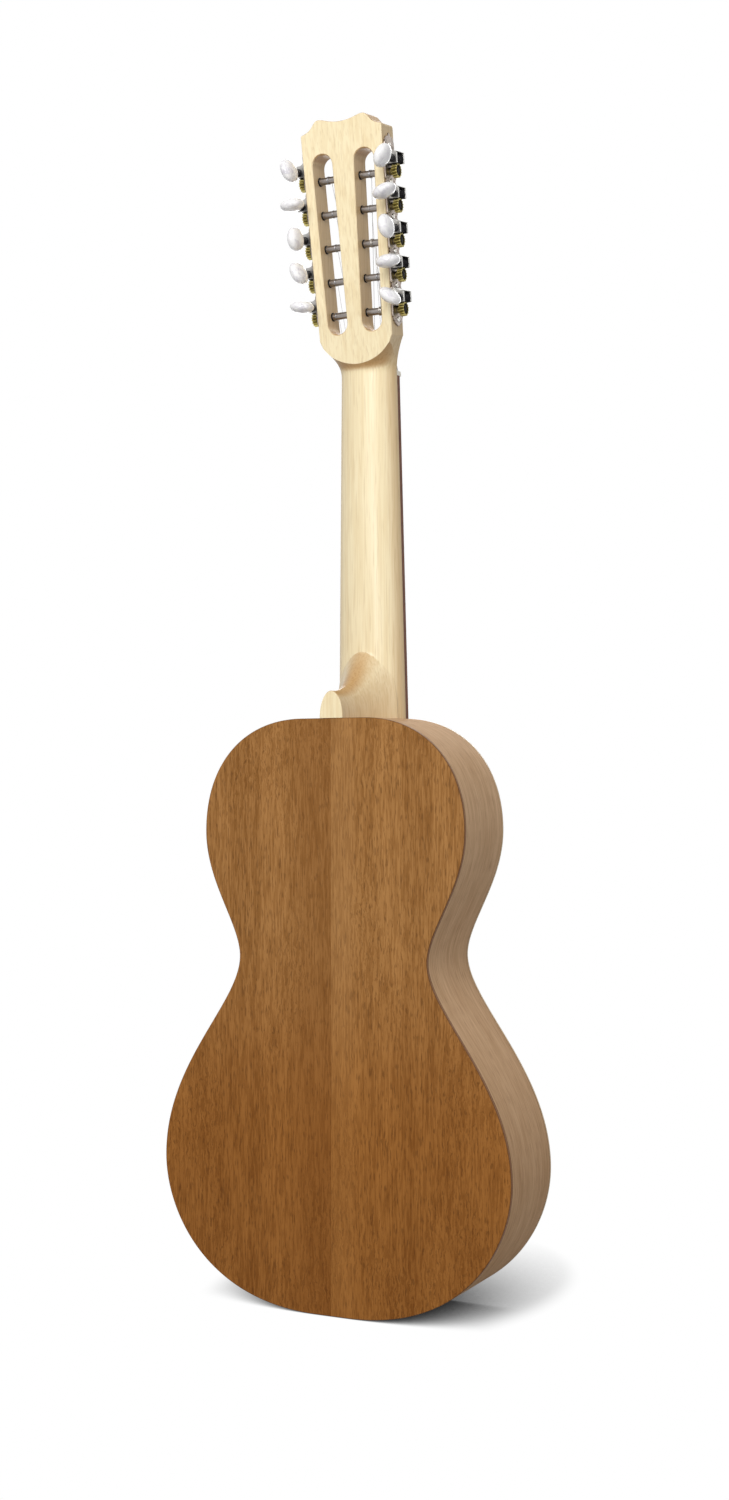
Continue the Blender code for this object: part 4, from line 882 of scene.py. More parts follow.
@dataclass(frozen=True)
class Board(Finish):
    """A varnished or bare board."""

    name: str
    pale: Colour
    deep: Colour
    pore: Colour
    way: Way = Way.UP_THE_NECK
    stripes: float = 60.0
    lines: float = 900.0
    flecks: float = 0.5
    dash: float = 0.15
    roughness: float = 0.38
    coat: float = 0.05
    sheen: float = 0.22
    bump: float = 0.00003
    curl: float = 0.0
    band: tuple[float, float, float] | None = None
    band_colour: Colour = (0.0, 0.0, 0.0)
    # The colour of the dark line of glue and painted shade at the joint, and of the painted shade on rounded edges.
    joint: Colour | None = None
    edge: Colour | None = None
    # Turned tint: faces across the grain darker as end grain and painted shade; side share: painted side shade.
    turned: Colour | None = None
    flank: float = 0.0
    # A tint that darkens the board towards the bottom: painted shade, where less light falls.
    foot: Colour | None = None

    def tinted(self, sheet: Sheet, colour: Any, share: Any, tint: Colour) -> bpy.types.NodeSocket:
        """The colour, multiplied by a tint as far as the share goes."""
        both = sheet.mix(share, (1.0, 1.0, 1.0, 1.0), rgba(tint))
        return sheet.add("VectorMath", {0: colour, 1: both}, operation="MULTIPLY").outputs[0]

    def grain_place(self, sheet: Sheet, place: bpy.types.NodeSocket) -> bpy.types.NodeSocket:
        """The place in the board's own axes, with Z along the grain.

        Args:
            sheet: the material's sheet.
            place: the place on the object.

        Returns:
            The socket of the turned place.
        """
        if self.way is Way.ALONG_THE_RIB:
            return sheet.add("Attribute", attribute_name="along_rib").outputs["Vector"]
        turn = {Way.ACROSS: (0.0, math.pi / 2, 0.0), Way.UP_THE_HEAD: (PLAN.lean, 0.0, 0.0)}
        flip = (-1.0, 1.0, 1.0) if self.way is Way.MIRRORED else (1.0, 1.0, 1.0)
        shift = (0.0021, 0.0, 0.037) if self.way is Way.MIRRORED else (0.0, 0.0, 0.0)
        return sheet.add("Mapping", {"Vector": place, "Rotation": turn.get(self.way, (0.0, 0.0, 0.0)),
                                     "Scale": flip, "Location": shift}).outputs[0]

    def material(self, groups: dict[str, bpy.types.NodeTree]) -> bpy.types.Material:
        """Build the board's material.

        Args:
            groups: the shared node groups by name.

        Returns:
            The material.
        """
        made, sheet, shader, place = self.start()
        grain = sheet.group(groups["grain"], {
            "Vector": self.grain_place(sheet, place), "Pale": rgba(self.pale), "Deep": rgba(self.deep),
            "Pore": rgba(self.pore), "Stripes": self.stripes, "Lines": self.lines,
            "Flecks": self.flecks, "Dash": self.dash, "Curl": self.curl})
        wear = sheet.group(groups["wear"], {"Vector": place, "Roughness": self.roughness})
        colour = grain.outputs["Color"]
        if self.band:
            middle, half, share = self.band
            off = sheet.math("SUBTRACT", sheet.add("SeparateXYZ", {0: place}).outputs[0], middle)
            mask = sheet.ramp(sheet.math("ABSOLUTE", off), half, 0.35 * half)
            colour = sheet.mix(sheet.math("MULTIPLY", mask, share), colour, rgba(self.band_colour))
        # Painted shade, with end grain: the turned tint on faces across the grain and on faces turned sideways.
        if self.turned:
            across = sheet.group(groups["turned"], {"Normal": place.node.outputs["Normal"]})
            flank = sheet.math("MULTIPLY", across.outputs["Flank"], self.flank)
            colour = self.tinted(sheet, colour, sheet.math("MAXIMUM", across.outputs["End"], flank), self.turned)
        # Painted shade: darker towards the bottom, where less light falls.
        if self.foot:
            height = sheet.add("SeparateXYZ", {0: place}).outputs[2]
            colour = self.tinted(sheet, colour, sheet.ramp(height, 0.31, 0.12), self.foot)
        if self.joint:
            seam = sheet.group(groups["joint"], {"Vector": place})
            if self.edge:
                colour = sheet.mix(sheet.math("MULTIPLY", seam.outputs["Edge"], 0.75), colour, rgba(self.edge))
            # The joint colour paints the glue line, the shade in the joint's gap and the shade on the plates' rounded
            # edges.
            colour = sheet.mix(sheet.math("MULTIPLY", seam.outputs["Line"], 0.85), colour, rgba(self.joint))
        bump = sheet.add("Bump", {"Height": grain.outputs["Height"], "Distance": self.bump, "Strength": 1.0})
        shader.inputs["Coat Weight"].default_value = self.coat
        shader.inputs["Coat Roughness"].default_value = 0.26
        shader.inputs["Specular IOR Level"].default_value = self.sheen
        sheet.tree.links.new(colour, shader.inputs["Base Color"])
        sheet.tree.links.new(wear.outputs["Roughness"], shader.inputs["Roughness"])
        sheet.tree.links.new(bump.outputs[0], shader.inputs["Normal"])
        return made


@dataclass(frozen=True)
class Smooth(Finish):
    """A metal, bone or lacquered surface with faint rubbing marks."""

    name: str
    colour: Colour
    dull: Colour
    roughness: float = 0.3
    metallic: float = 0.0
    coat: float = 0.0
    sheen: float = 0.5
    brushed: Colour = (300.0, 300.0, 300.0)
    # How far ambient occlusion reaches when it paints shade into gaps and recesses; 0 for none.
    gap_shade: float = 0.0

    def material(self, groups: dict[str, bpy.types.NodeTree]) -> bpy.types.Material:
        """Build the surface's material.

        Args:
            groups: the shared node groups by name.

        Returns:
            The material.
        """
        made, sheet, shader, place = self.start()
        wear = sheet.group(groups["wear"], {"Vector": place, "Roughness": self.roughness})
        hair = sheet.noise(sheet.times(place, self.brushed), 2.0)
        share = sheet.math("MULTIPLY_ADD", sheet.ramp(hair, 0.4, 0.75), 0.35,
                           sheet.math("MULTIPLY", wear.outputs["Dust"], 0.5))
        colour = sheet.mix(share, rgba(self.colour), rgba(self.dull))
        # Painted shade: the colour is darkened by ambient occlusion in gaps, teeth and recesses.
        if self.gap_shade:
            open_air = sheet.add("AmbientOcclusion", {"Distance": self.gap_shade}, samples=12).outputs["AO"]
            colour = sheet.mix(sheet.ramp(open_air, 0.75, 0.30), colour, (0.020, 0.016, 0.008, 1.0))
        bump = sheet.add("Bump", {"Height": hair, "Distance": 0.000012, "Strength": 1.0})
        shader.inputs["Metallic"].default_value = self.metallic
        shader.inputs["Coat Weight"].default_value = self.coat
        shader.inputs["Specular IOR Level"].default_value = self.sheen
        sheet.tree.links.new(colour, shader.inputs["Base Color"])
        sheet.tree.links.new(wear.outputs["Roughness"], shader.inputs["Roughness"])
        sheet.tree.links.new(bump.outputs[0], shader.inputs["Normal"])
        return made


@dataclass(frozen=True)
class Engraved(Finish):
    """A nickelled side plate with engraved scrolls."""

    name: str
    side: Side
    bright: Colour = (0.44, 0.375, 0.33)
    dull: Colour = (0.30, 0.25, 0.215)
    groove: Colour = (0.070, 0.047, 0.037)

    def material(self, groups: dict[str, bpy.types.NodeTree]) -> bpy.types.Material:
        """Build the plate's material.

        Args:
            groups: the shared node groups by name.

        Returns:
            The material.
        """
        made, sheet, shader, place = self.start()
        spot, turn, _ = PLAN.side(self.side).decompose()
        own = sheet.add("Mapping", {"Vector": place, "Location": spot, "Rotation": turn.to_euler()},
                        vector_type="TEXTURE").outputs[0]
        cut = sheet.group(groups["scroll"], {"Vector": own}).outputs["Cut"]
        wear = sheet.group(groups["wear"], {"Vector": place, "Roughness": 0.30})
        hair = sheet.noise(sheet.times(own, (900.0, 900.0, 120.0)), 2.0)
        metal = sheet.mix(sheet.ramp(hair, 0.35, 0.75), rgba(self.bright), rgba(self.dull))
        colour = sheet.mix(sheet.math("MULTIPLY", cut, 0.95), metal, rgba(self.groove))
        height = sheet.math("SUBTRACT", sheet.math("MULTIPLY", hair, 0.08), cut)
        bump = sheet.add("Bump", {"Height": height, "Distance": 0.00012, "Strength": 1.0})
        shader.inputs["Metallic"].default_value = 1.0
        sheet.tree.links.new(colour, shader.inputs["Base Color"])
        sheet.tree.links.new(wear.outputs["Roughness"], shader.inputs["Roughness"])
        sheet.tree.links.new(bump.outputs[0], shader.inputs["Normal"])
        return made


@dataclass(frozen=True)
class Pearl(Finish):
    """Button pearl: soft layered clouds of white, grey and a breath of lavender."""

    name: str = "button_pearl"
    white: Colour = (0.90, 0.89, 0.88)
    grey: Colour = (0.66, 0.64, 0.68)
    tint: Colour = (0.82, 0.78, 0.84)

    def material(self, groups: dict[str, bpy.types.NodeTree]) -> bpy.types.Material:
        """Build the pearl's material.

        Args:
            groups: the shared node groups by name.

        Returns:
            The material.
        """
        made, sheet, shader, place = self.start()
        swirl = sheet.noise(sheet.times(place, (150.0, 150.0, 150.0)), 3.0, 1.6)
        layer = sheet.noise(sheet.times(place, (420.0, 260.0, 420.0)), 2.0, 2.2)
        colour = sheet.mix(sheet.ramp(swirl, 0.42, 0.72), rgba(self.white), rgba(self.grey))
        colour = sheet.mix(sheet.math("MULTIPLY", sheet.ramp(layer, 0.45, 0.7), 0.5), colour, rgba(self.tint))
        wear = sheet.group(groups["wear"], {"Vector": place, "Roughness": 0.24})
        shader.inputs["Coat Weight"].default_value = 0.5
        shader.inputs["Coat Roughness"].default_value = 0.06
        shader.inputs["Subsurface Weight"].default_value = 0.0
        sheet.tree.links.new(colour, shader.inputs["Base Color"])
        sheet.tree.links.new(wear.outputs["Roughness"], shader.inputs["Roughness"])
        return made


@dataclass(frozen=True)
class Wound(Finish):
    """A string: plain steel, or with a fine wrap that shows as rings."""

    name: str
    colour: Colour
    dark: Colour
    pitch: float = 0.00028

    def material(self, groups: dict[str, bpy.types.NodeTree]) -> bpy.types.Material:
        """Build the string's material.

        Args:
            groups: the shared node groups by name.

        Returns:
            The material.
        """
        made, sheet, shader, place = self.start()
        parts = sheet.add("SeparateXYZ", {0: place})
        run = sheet.math("MULTIPLY", parts.outputs[2], 2 * math.pi / self.pitch)
        rings = sheet.math("MULTIPLY_ADD", sheet.math("SINE", run), 0.5, 0.5)
        wear = sheet.group(groups["wear"], {"Vector": place, "Roughness": 0.30})
        colour = sheet.mix(sheet.math("MULTIPLY", rings, 0.5), rgba(self.colour), rgba(self.dark))
        bump = sheet.add("Bump", {"Height": rings, "Distance": 0.00002, "Strength": 0.6})
        shader.inputs["Metallic"].default_value = 1.0
        sheet.tree.links.new(colour, shader.inputs["Base Color"])
        sheet.tree.links.new(wear.outputs["Roughness"], shader.inputs["Roughness"])
        sheet.tree.links.new(bump.outputs[0], shader.inputs["Normal"])
        return made


# Dark line of glue and painted shade at the plates' joints and rounded edges.
DARK_GLUE_AND_SHADE = (0.135, 0.058, 0.020)

# The back's foot tint is painted shade, darker towards the bottom.
BACK: dict[str, Any] = {"curl": 0.0050, "stripes": 42.0, "lines": 740.0, "flecks": 0.46, "dash": 0.14,
                        "roughness": 0.50, "sheen": 0.05, "coat": 0.03, "foot": (0.85, 0.71, 0.50),
                        "joint": DARK_GLUE_AND_SHADE, "edge": (0.30, 0.165, 0.10)}

FINISHES: dict[str, Board | Smooth | Engraved | Pearl | Wound] = {
    "back_bass": Board("back_wood_bass", (0.440, 0.216, 0.070), (0.222, 0.091, 0.021), (0.100, 0.039, 0.011),
                       band=(-0.006, 0.020, 0.20), band_colour=(0.53, 0.285, 0.11), **BACK),
    "back_treble": Board("back_wood_treble", (0.430, 0.209, 0.068), (0.216, 0.088, 0.020), (0.098, 0.038, 0.011),
                         way=Way.MIRRORED, band=(0.010, 0.030, 0.30), band_colour=(0.215, 0.085, 0.020), **BACK),
    # The rib's foot tint is painted shade, darker towards the bottom.
    "rib": Board("rib_wood", (0.665, 0.450, 0.278), (0.495, 0.310, 0.172), (0.255, 0.142, 0.075),
                 way=Way.ALONG_THE_RIB, stripes=70.0, lines=760.0, flecks=0.30, dash=0.08, roughness=0.50,
                 sheen=0.0, coat=0.04, joint=DARK_GLUE_AND_SHADE, foot=(0.90, 0.87, 0.84)),
    "top": Board("soundboard_wood", (0.760, 0.560, 0.310), (0.610, 0.400, 0.190), (0.500, 0.300, 0.140),
                 stripes=330.0, lines=1500.0, flecks=0.1, joint=DARK_GLUE_AND_SHADE),
    # The neck's turned tint and side share paint shade on faces turned up, down and sideways, with end grain.
    "neck": Board("neck_wood", (0.905, 0.790, 0.535), (0.800, 0.650, 0.395), (0.540, 0.370, 0.180),
                  stripes=44.0, lines=560.0, flecks=0.22, dash=0.05, roughness=0.42, sheen=0.0, coat=0.55,
                  turned=(0.64, 0.47, 0.32), flank=0.52),
    "inner": Board("inner_cedar", (0.60, 0.40, 0.22), (0.46, 0.28, 0.14), (0.30, 0.17, 0.08),
                   way=Way.ACROSS, coat=0.0, roughness=0.7),
    "dark": Board("dark_rosewood", (0.245, 0.105, 0.062), (0.125, 0.050, 0.031), (0.030, 0.015, 0.010),
                  stripes=70.0, lines=1000.0, flecks=0.6, coat=0.0, sheen=0.05),
    "pale_inlay": Board("pale_inlay", (0.80, 0.66, 0.42), (0.66, 0.50, 0.28), (0.45, 0.30, 0.15),
                        stripes=200.0, flecks=0.1),
    "bone": Smooth("polished_bone", (0.84, 0.80, 0.69), (0.74, 0.68, 0.54), 0.32, coat=0.2,
                   brushed=(900.0, 900.0, 120.0)),
    "plate_treble": Engraved("engraved_plate_treble", Side.TREBLE),
    "plate_bass": Engraved("engraved_plate_bass", Side.BASS),
    "silver": Smooth("nickel_silver", (0.47, 0.46, 0.44), (0.30, 0.29, 0.27), 0.30, 1.0),
    "steel": Smooth("post_steel", (0.30, 0.275, 0.26), (0.17, 0.155, 0.145), 0.34, 1.0,
                    brushed=(80.0, 900.0, 900.0)),
    "black": Smooth("black_oxide", (0.012, 0.011, 0.013), (0.026, 0.024, 0.026), 0.46, sheen=0.10),
    # The brass has painted shade in its teeth and on its face towards the plate.
    "brass": Smooth("wheel_brass", (0.62, 0.53, 0.20), (0.22, 0.18, 0.065), 0.34, 1.0,
                    gap_shade=0.0035),
    "pearl": Pearl(),
    "plain_string": Smooth("plain_string", (0.40, 0.40, 0.42), (0.28, 0.28, 0.30), 0.28, 1.0),
    "wound_string": Wound("wound_string", (0.52, 0.50, 0.47), (0.22, 0.20, 0.18)),
    "fret_metal": Smooth("fret_metal", (0.70, 0.68, 0.64), (0.55, 0.53, 0.49), 0.22, 1.0,
                         brushed=(60.0, 900.0, 900.0)),
}


class Wardrobe:
    """The finished materials, which each piece takes by the finish's word."""

    def __init__(self) -> None:
        """Build the node groups and every material once."""
        groups = {"grain": build_grain_group(), "wear": build_wear_group(), "joint": build_joint_group(),
                  "scroll": build_scroll_group(), "turned": build_turned_group()}
        self.made = {key: finish.material(groups) for key, finish in FINISHES.items()}

    def dress(self, piece: Piece, key: str, body: str | None = BODY, stands_for: Sequence[str] = ()) -> Piece:
        """Give a piece its finish, its body and the nodes that it stands for.

        Args:
            piece: the piece.
            key: the finish's word.
            body: the body that it rides on, or None for a carried-over node.
            stands_for: nodes that it replaces.

        Returns:
            The same piece.
        """
        piece.data.materials.clear()
        piece.data.materials.append(self.made[key])
        if body:
            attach(piece, body)
        if stands_for:
            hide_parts(*stands_for)
        LOG.info("%s finished as %s", piece.name, key)
        return piece


# ---------------------------------------------------------------- the body


@dataclass
class SoundBox:
    """The back in two halves, the two ribs and the soundboard with its heart soundholes."""

    wardrobe: Wardrobe
    steps: int = 150
    rib_thick: float = 0.0020
    edge_radius: float = 0.0008
    joint: float = 0.00003
    graft_half: float = 0.0063
    seam: float = 0.0001
    heart_place: Spot = (0.0262, 0.303)
    heart_size: Spot = (0.0400, 0.0380)
    heart_waves: tuple[int, ...] = (13, -5, -2, -1)
    heart_steps: int = 96

    def __post_init__(self) -> None:
        """Draw the body's half outline once."""
        self.line = PLAN.half_line(self.steps)

    def back(self, side: Side) -> None:
        """Half of the back, with its rounded edge."""
        def ring(depth: float, inset: float) -> list[Vector]:
            """The half's outline at a depth below its face."""
            line = PLAN.inset(self.line, inset)
            line[0], line[-1] = (self.joint, line[0][1]), (self.joint, line[-1][1])
            return [Vector((side.value * x, PLAN.back_y(z) - depth, z)) for x, z in line]

        levels = levels_of(PLAN.plate, 0.0, self.edge_radius, 4, (False, True))
        rings = [ring(depth, inset) for depth, inset in levels]
        piece = Skin(f"back_plate_{side.label}", rings[0]).draw(*rings[1:]).done(40.0)
        self.wardrobe.dress(piece, f"back_{side.label}", stands_for=[f"back_{side.label}"])

    def rib(self, side: Side) -> None:
        """A bent side, with the run of its grain kept on it."""
        low = PLAN.front + PLAN.plate + self.seam
        inner = PLAN.inset(self.line, self.rib_thick)
        outer = list(self.line)
        outer[0], inner[0] = (self.joint, outer[0][1]), (self.joint, inner[0][1])
        outer[-1], inner[-1] = (self.graft_half, outer[-1][1]), (self.graft_half, inner[-1][1])
        piece = ribbon(f"bent_rib_{side.label}", [(side.value * x, z) for x, z in outer],
                       [(side.value * x, z) for x, z in inner], lambda z: low,
                       lambda z: PLAN.back_y(z) - PLAN.plate - self.seam)
        self.run_along(piece, outer)
        shade(piece, 40.0)
        self.wardrobe.dress(piece, "rib", stands_for=[f"rib_{side.label}"])

    def run_along(self, piece: Piece, line: list[Spot]) -> None:
        """Keep on each vertex how far round the body it lies.

        Args:
            piece: the rib.
            line: the outline that it follows.
        """
        run = [0.0]
        for (x0, z0), (x1, z1) in zip(line, line[1:]):
            run.append(run[-1] + math.hypot(x1 - x0, z1 - z0))
        made = piece.data.attributes.new("along_rib", "FLOAT_VECTOR", "POINT")
        for vert, value in zip(piece.data.vertices, made.data):
            x, y, z = abs(vert.co.x), vert.co.y, vert.co.z
            near = min(range(len(line)), key=lambda i: (line[i][0] - x) ** 2 + (line[i][1] - z) ** 2)
            value.vector = (y, 0.0, run[near] + math.copysign(0.31, vert.co.x))

    def heart(self, side: Side, grow: float = 0.0) -> list[Spot]:
        """A heart on its side, lobes towards the centre line.

        Args:
            side: which heart.
            grow: how far outside the hole's edge.

        Returns:
            Its outline.
        """
        points = []
        for step in range(self.heart_steps):
            turn = 2 * math.pi * (step + 0.5) / self.heart_steps
            along = sum(wave * math.cos((i + 1) * turn) for i, wave in enumerate(self.heart_waves))
            points.append((side.value * (self.heart_place[0] - along * self.heart_size[0] / 29),
                           self.heart_place[1] + math.sin(turn) ** 3 * self.heart_size[1] / 2))
        return shrink(points, -grow) if grow else points

    def soundboard(self) -> None:
        """The flat top with its two hearts, their inlaid rings and a line inside its edge."""
        whole = [*self.line[1:-1], *[(-x, z) for x, z in reversed(self.line[1:-1])]]
        levels = levels_of(PLAN.front + PLAN.plate, PLAN.front, self.edge_radius, 4, (False, True))
        piece = slab("soundboard_plate", whole, levels, lambda spot, y: (spot[0], y, spot[1]))
        for side in Side:
            hole = slab("heart_cut", self.heart(side), [(PLAN.front - 0.01, 0.0), (PLAN.front + 0.01, 0.0)],
                        lambda spot, y: (spot[0], y, spot[1]))
            carve(piece, hole)
        self.wardrobe.dress(shade(piece, 40.0), "top", stands_for=["soundboard"])
        face, seat = (lambda z: PLAN.front - 0.00008), (lambda z: PLAN.front + 0.0006)
        for side in Side:
            for name, near, far, key in (("dark", 0.0009, 0.0017, "dark"), ("pale", 0.0017, 0.0027, "pale_inlay"),
                                         ("rim", 0.0027, 0.0033, "dark")):
                ring = ribbon(f"heart_inlay_{name}_{side.label}", self.heart(side, far), self.heart(side, near),
                              face, seat, closed=True)
                self.wardrobe.dress(shade(ring, 40.0), key)
        for name, near, far, key in (("edge_binding", 0.0022, 0.0034, "dark"),
                                     ("edge_stringing", 0.0034, 0.0042, "pale_inlay")):
            lines = [[*PLAN.inset(self.line, inset)[1:-1]] for inset in (near, far)]
            loops = [[*line, *[(-x, z) for x, z in reversed(line)]] for line in lines]
            self.wardrobe.dress(shade(ribbon(name, *loops, face, seat, closed=True), 40.0), key)

    def build(self) -> None:
        """Make the whole box."""
        for side in Side:
            self.back(side)
            self.rib(side)
        self.soundboard()


# ---------------------------------------------------------------- neck and head


@dataclass
class NeckAndHead:
    """The neck with its carved heel, and the slotted head that flares out of it."""

    wardrobe: Wardrobe
    round_steps: int = 48
    heel_halves: Spot = (0.0265, 0.0098)
    heel_arches: Spot = (0.0680, 0.0205)
    heel_root: float = 0.0110
    heel_powers: Spot = (2.4, 2.6)
    heel_layers: int = 40
    heel_steps: int = 40
    flare: Spot = (0.00925, 0.1010)
    flare_height: float = 0.0250
    flare_powers: Spot = (2.18, 2.69)
    flare_top: float = 0.0400
    flare_layers: int = 32
    shoulder: Spot = (0.0033, 0.0300)
    shoulder_power: float = 1.76
    edge: float = 0.0007
    low: float = 0.446

    def round_back(self, half: float, depth: float, z: float, front: float) -> list[Vector]:
        """A D-shaped ring, flat in front and a half ellipse behind."""
        ring = []
        for i in range(self.round_steps + 1):
            turn = math.pi * i / self.round_steps
            ring.append(Vector((half * math.cos(turn), PLAN.front + depth * math.sin(turn), z)))
        if front:
            ring += [Vector((-half, PLAN.front - front, z)), Vector((half, PLAN.front - front, z))]
        return ring

    def heel_layer(self, share: float, inset: float = 0.0) -> list[Vector]:
        """One arch of the heel, from the root inside the neck (0) to the foot at the back (1).

        Args:
            share: how deep it lies.
            inset: how far the arch is drawn in, for the foot's rounded edge.

        Returns:
            Its ring.
        """
        foot = PLAN.back_y(PLAN.length) - PLAN.front
        depth = self.heel_root + share * (foot - self.heel_root)
        root_half, foot_half = self.heel_halves
        root_arch, foot_arch = self.heel_arches
        half = foot_half + (1 - share) ** self.heel_powers[0] * (root_half - foot_half) - inset
        arch = foot_arch + (1 - share) ** self.heel_powers[1] * (root_arch - foot_arch) - inset
        spots = [(half, self.low)]
        for i in range(self.heel_steps + 1):
            turn = math.pi * i / self.heel_steps
            spots.append((half * math.cos(turn), PLAN.length + PLAN.glue + arch * math.sin(turn)))
        spots.append((-half, self.low))
        lean = share * (PLAN.heel_depth - PLAN.tail_depth) / PLAN.length
        return [Vector((x, PLAN.front + depth + lean * (z - PLAN.length), z)) for x, z in spots]

    def neck(self) -> Piece:
        """The neck from the body to the nut, with the heel joined on.

        Returns:
            The neck.
        """
        rings = [self.round_back(PLAN.neck_half(z), PLAN.neck_depth(z), z, 0.0)
                 for z in [self.low + (PLAN.nut - self.low) * i / 24 for i in range(25)]]
        neck = Skin("neck", rings[0]).draw(*rings[1:]).done(None)
        layers = [self.heel_layer((i / self.heel_layers) ** 1.4) for i in range(self.heel_layers)]
        layers += [self.heel_layer(1.0 - 0.0104 * (1 - math.sin(turn)), 0.0006 * (1 - math.cos(turn)))
                   for turn in (math.pi / 2 * i / 4 for i in range(5))]
        heel = Skin("heel", layers[0]).draw(*layers[1:]).done(None)
        carve(neck, heel, "UNION")
        select_only(neck)
        bpy.ops.object.mode_set(mode="EDIT")
        bpy.ops.mesh.select_all(action="SELECT")
        bpy.ops.mesh.bisect(plane_co=(0.0, 0.0, PLAN.length + 0.00005), plane_no=(0.0, 0.0, 1.0),
                            use_fill=True, clear_inner=True)
        bpy.ops.object.mode_set(mode="OBJECT")
        return neck

    def outline(self) -> list[Spot]:
        """The head's outline in its own frame: shoulders, straight sides and the crest.

        Returns:
            The closed outline.
        """
        base = PLAN.neck_halves[1] + 0.0005
        low, high = self.shoulder
        half = [(base, -PLAN.head_thick)]
        for i in range(25):
            share = i / 24
            half.append((base + share ** self.shoulder_power * (PLAN.head_half(high) - base), low + share * (high - low)))
        wide, corner, turn = PLAN.head_halves[1], PLAN.head_corner, 0.0020
        half += [(wide - turn * (1 - math.cos(a)) / 2, corner - turn * (1 - math.sin(a)))
                 for a in (math.pi / 2 * i / 5 for i in range(5))]
        stations = ((wide - turn / 2, corner), (0.0260, 0.1924), (0.0190, 0.1980), (0.0, 0.1947))
        handles = (((0.38, 0.23), (0.72, 0.45)), ((0.29, 0.34), (0.49, 1.0)), ((0.24, 0.0), (0.47, 1.0)))
        half += chain(stations, handles, (10, 12, 14))
        return [*half, *[(-x, z) for x, z in reversed(half[:-1])]]

    def slot(self, side: Side) -> list[Spot]:
        """A string slot with round ends, leaning with the head's side."""
        radius = PLAN.slot_width / 2
        low = Vector((side.value * PLAN.slot_places[0], PLAN.slot_ends[0] + radius))
        high = Vector((side.value * PLAN.slot_places[1], PLAN.slot_ends[1] - radius))
        lean = math.atan2(high.x - low.x, high.y - low.y)
        return [(centre.x + radius * math.cos(start + math.pi * i / 20 - lean),
                 centre.y + radius * math.sin(start + math.pi * i / 20 - lean))
                for centre, start in ((high, 0.0), (low, math.pi)) for i in range(21)]

    def head(self) -> Piece:
        """The head, trimmed to the flare and slotted.

        Returns:
            The head.
        """
        thick = PLAN.head_thick
        head = slab("head", self.outline(), levels_of(0.0, thick, self.edge, 3),
                    lambda spot, y: (spot[0], y, spot[1]), PLAN.head())
        rings = []
        for i in range(self.flare_layers + 1):
            share = self.flare_top * i / self.flare_layers / self.flare_height
            half = PLAN.neck_halves[1] + self.flare[0] * share ** self.flare_powers[0]
            depth = PLAN.neck_depths[1] + self.flare[1] * share ** self.flare_powers[1]
            rings.append(self.round_back(half, depth, PLAN.nut + share * self.flare_height, 0.004))
        rings.append([Vector((x, y, PLAN.nut + 0.4)) for x, y, _ in rings[-1]])
        horn = Skin("horn", rings[0]).draw(*rings[1:]).done(None)
        carve(head, horn, "INTERSECT")
        rim = [(-0.0010, -0.0016), (0.0006, 0.0), (thick - 0.0006, 0.0), (thick + 0.0010, -0.0016)]
        radius, start, depth = PLAN.slot_width / 2, 0.0200, 0.0043
        slope = depth / (PLAN.slot_ends[0] - start)
        for side in Side:
            carve(head, slab("slot_cut", self.slot(side), rim, lambda spot, y: (spot[0], y, spot[1]),
                             PLAN.head()))
            ends = [(slope * (z - start), z) for z in (start - 0.004, PLAN.slot_ends[0] + radius)]
            wedge = [(ends[0][0] - 0.004, ends[0][1]), *ends, (-0.004, ends[1][1])]
            centre = side.value * PLAN.slot_places[0]
            carve(head, slab("ramp_cut", wedge, [(centre - radius, 0.0), (centre + radius, 0.0)],
                             lambda spot, x: (x, spot[0], spot[1]), PLAN.head()))
        return head

    def build(self) -> None:
        """Join neck and head into one smooth piece of wood."""
        piece = joined([self.neck(), self.head()], "neck_with_slotted_head")
        select_only(piece)
        bpy.ops.object.mode_set(mode="EDIT")
        bpy.ops.mesh.select_all(action="DESELECT")
        shape = bmesh.from_edit_mesh(piece.data)
        for face in shape.faces:
            face.select = all(abs(vert.co.z - PLAN.nut) < 2e-5 for vert in face.verts)
        bpy.ops.mesh.delete(type="ONLY_FACE")
        bpy.ops.object.mode_set(mode="OBJECT")
        tidy(piece, 4e-5)
        self.wardrobe.dress(shade(piece, 34.0), "neck", stands_for=["neck", "headstock"])


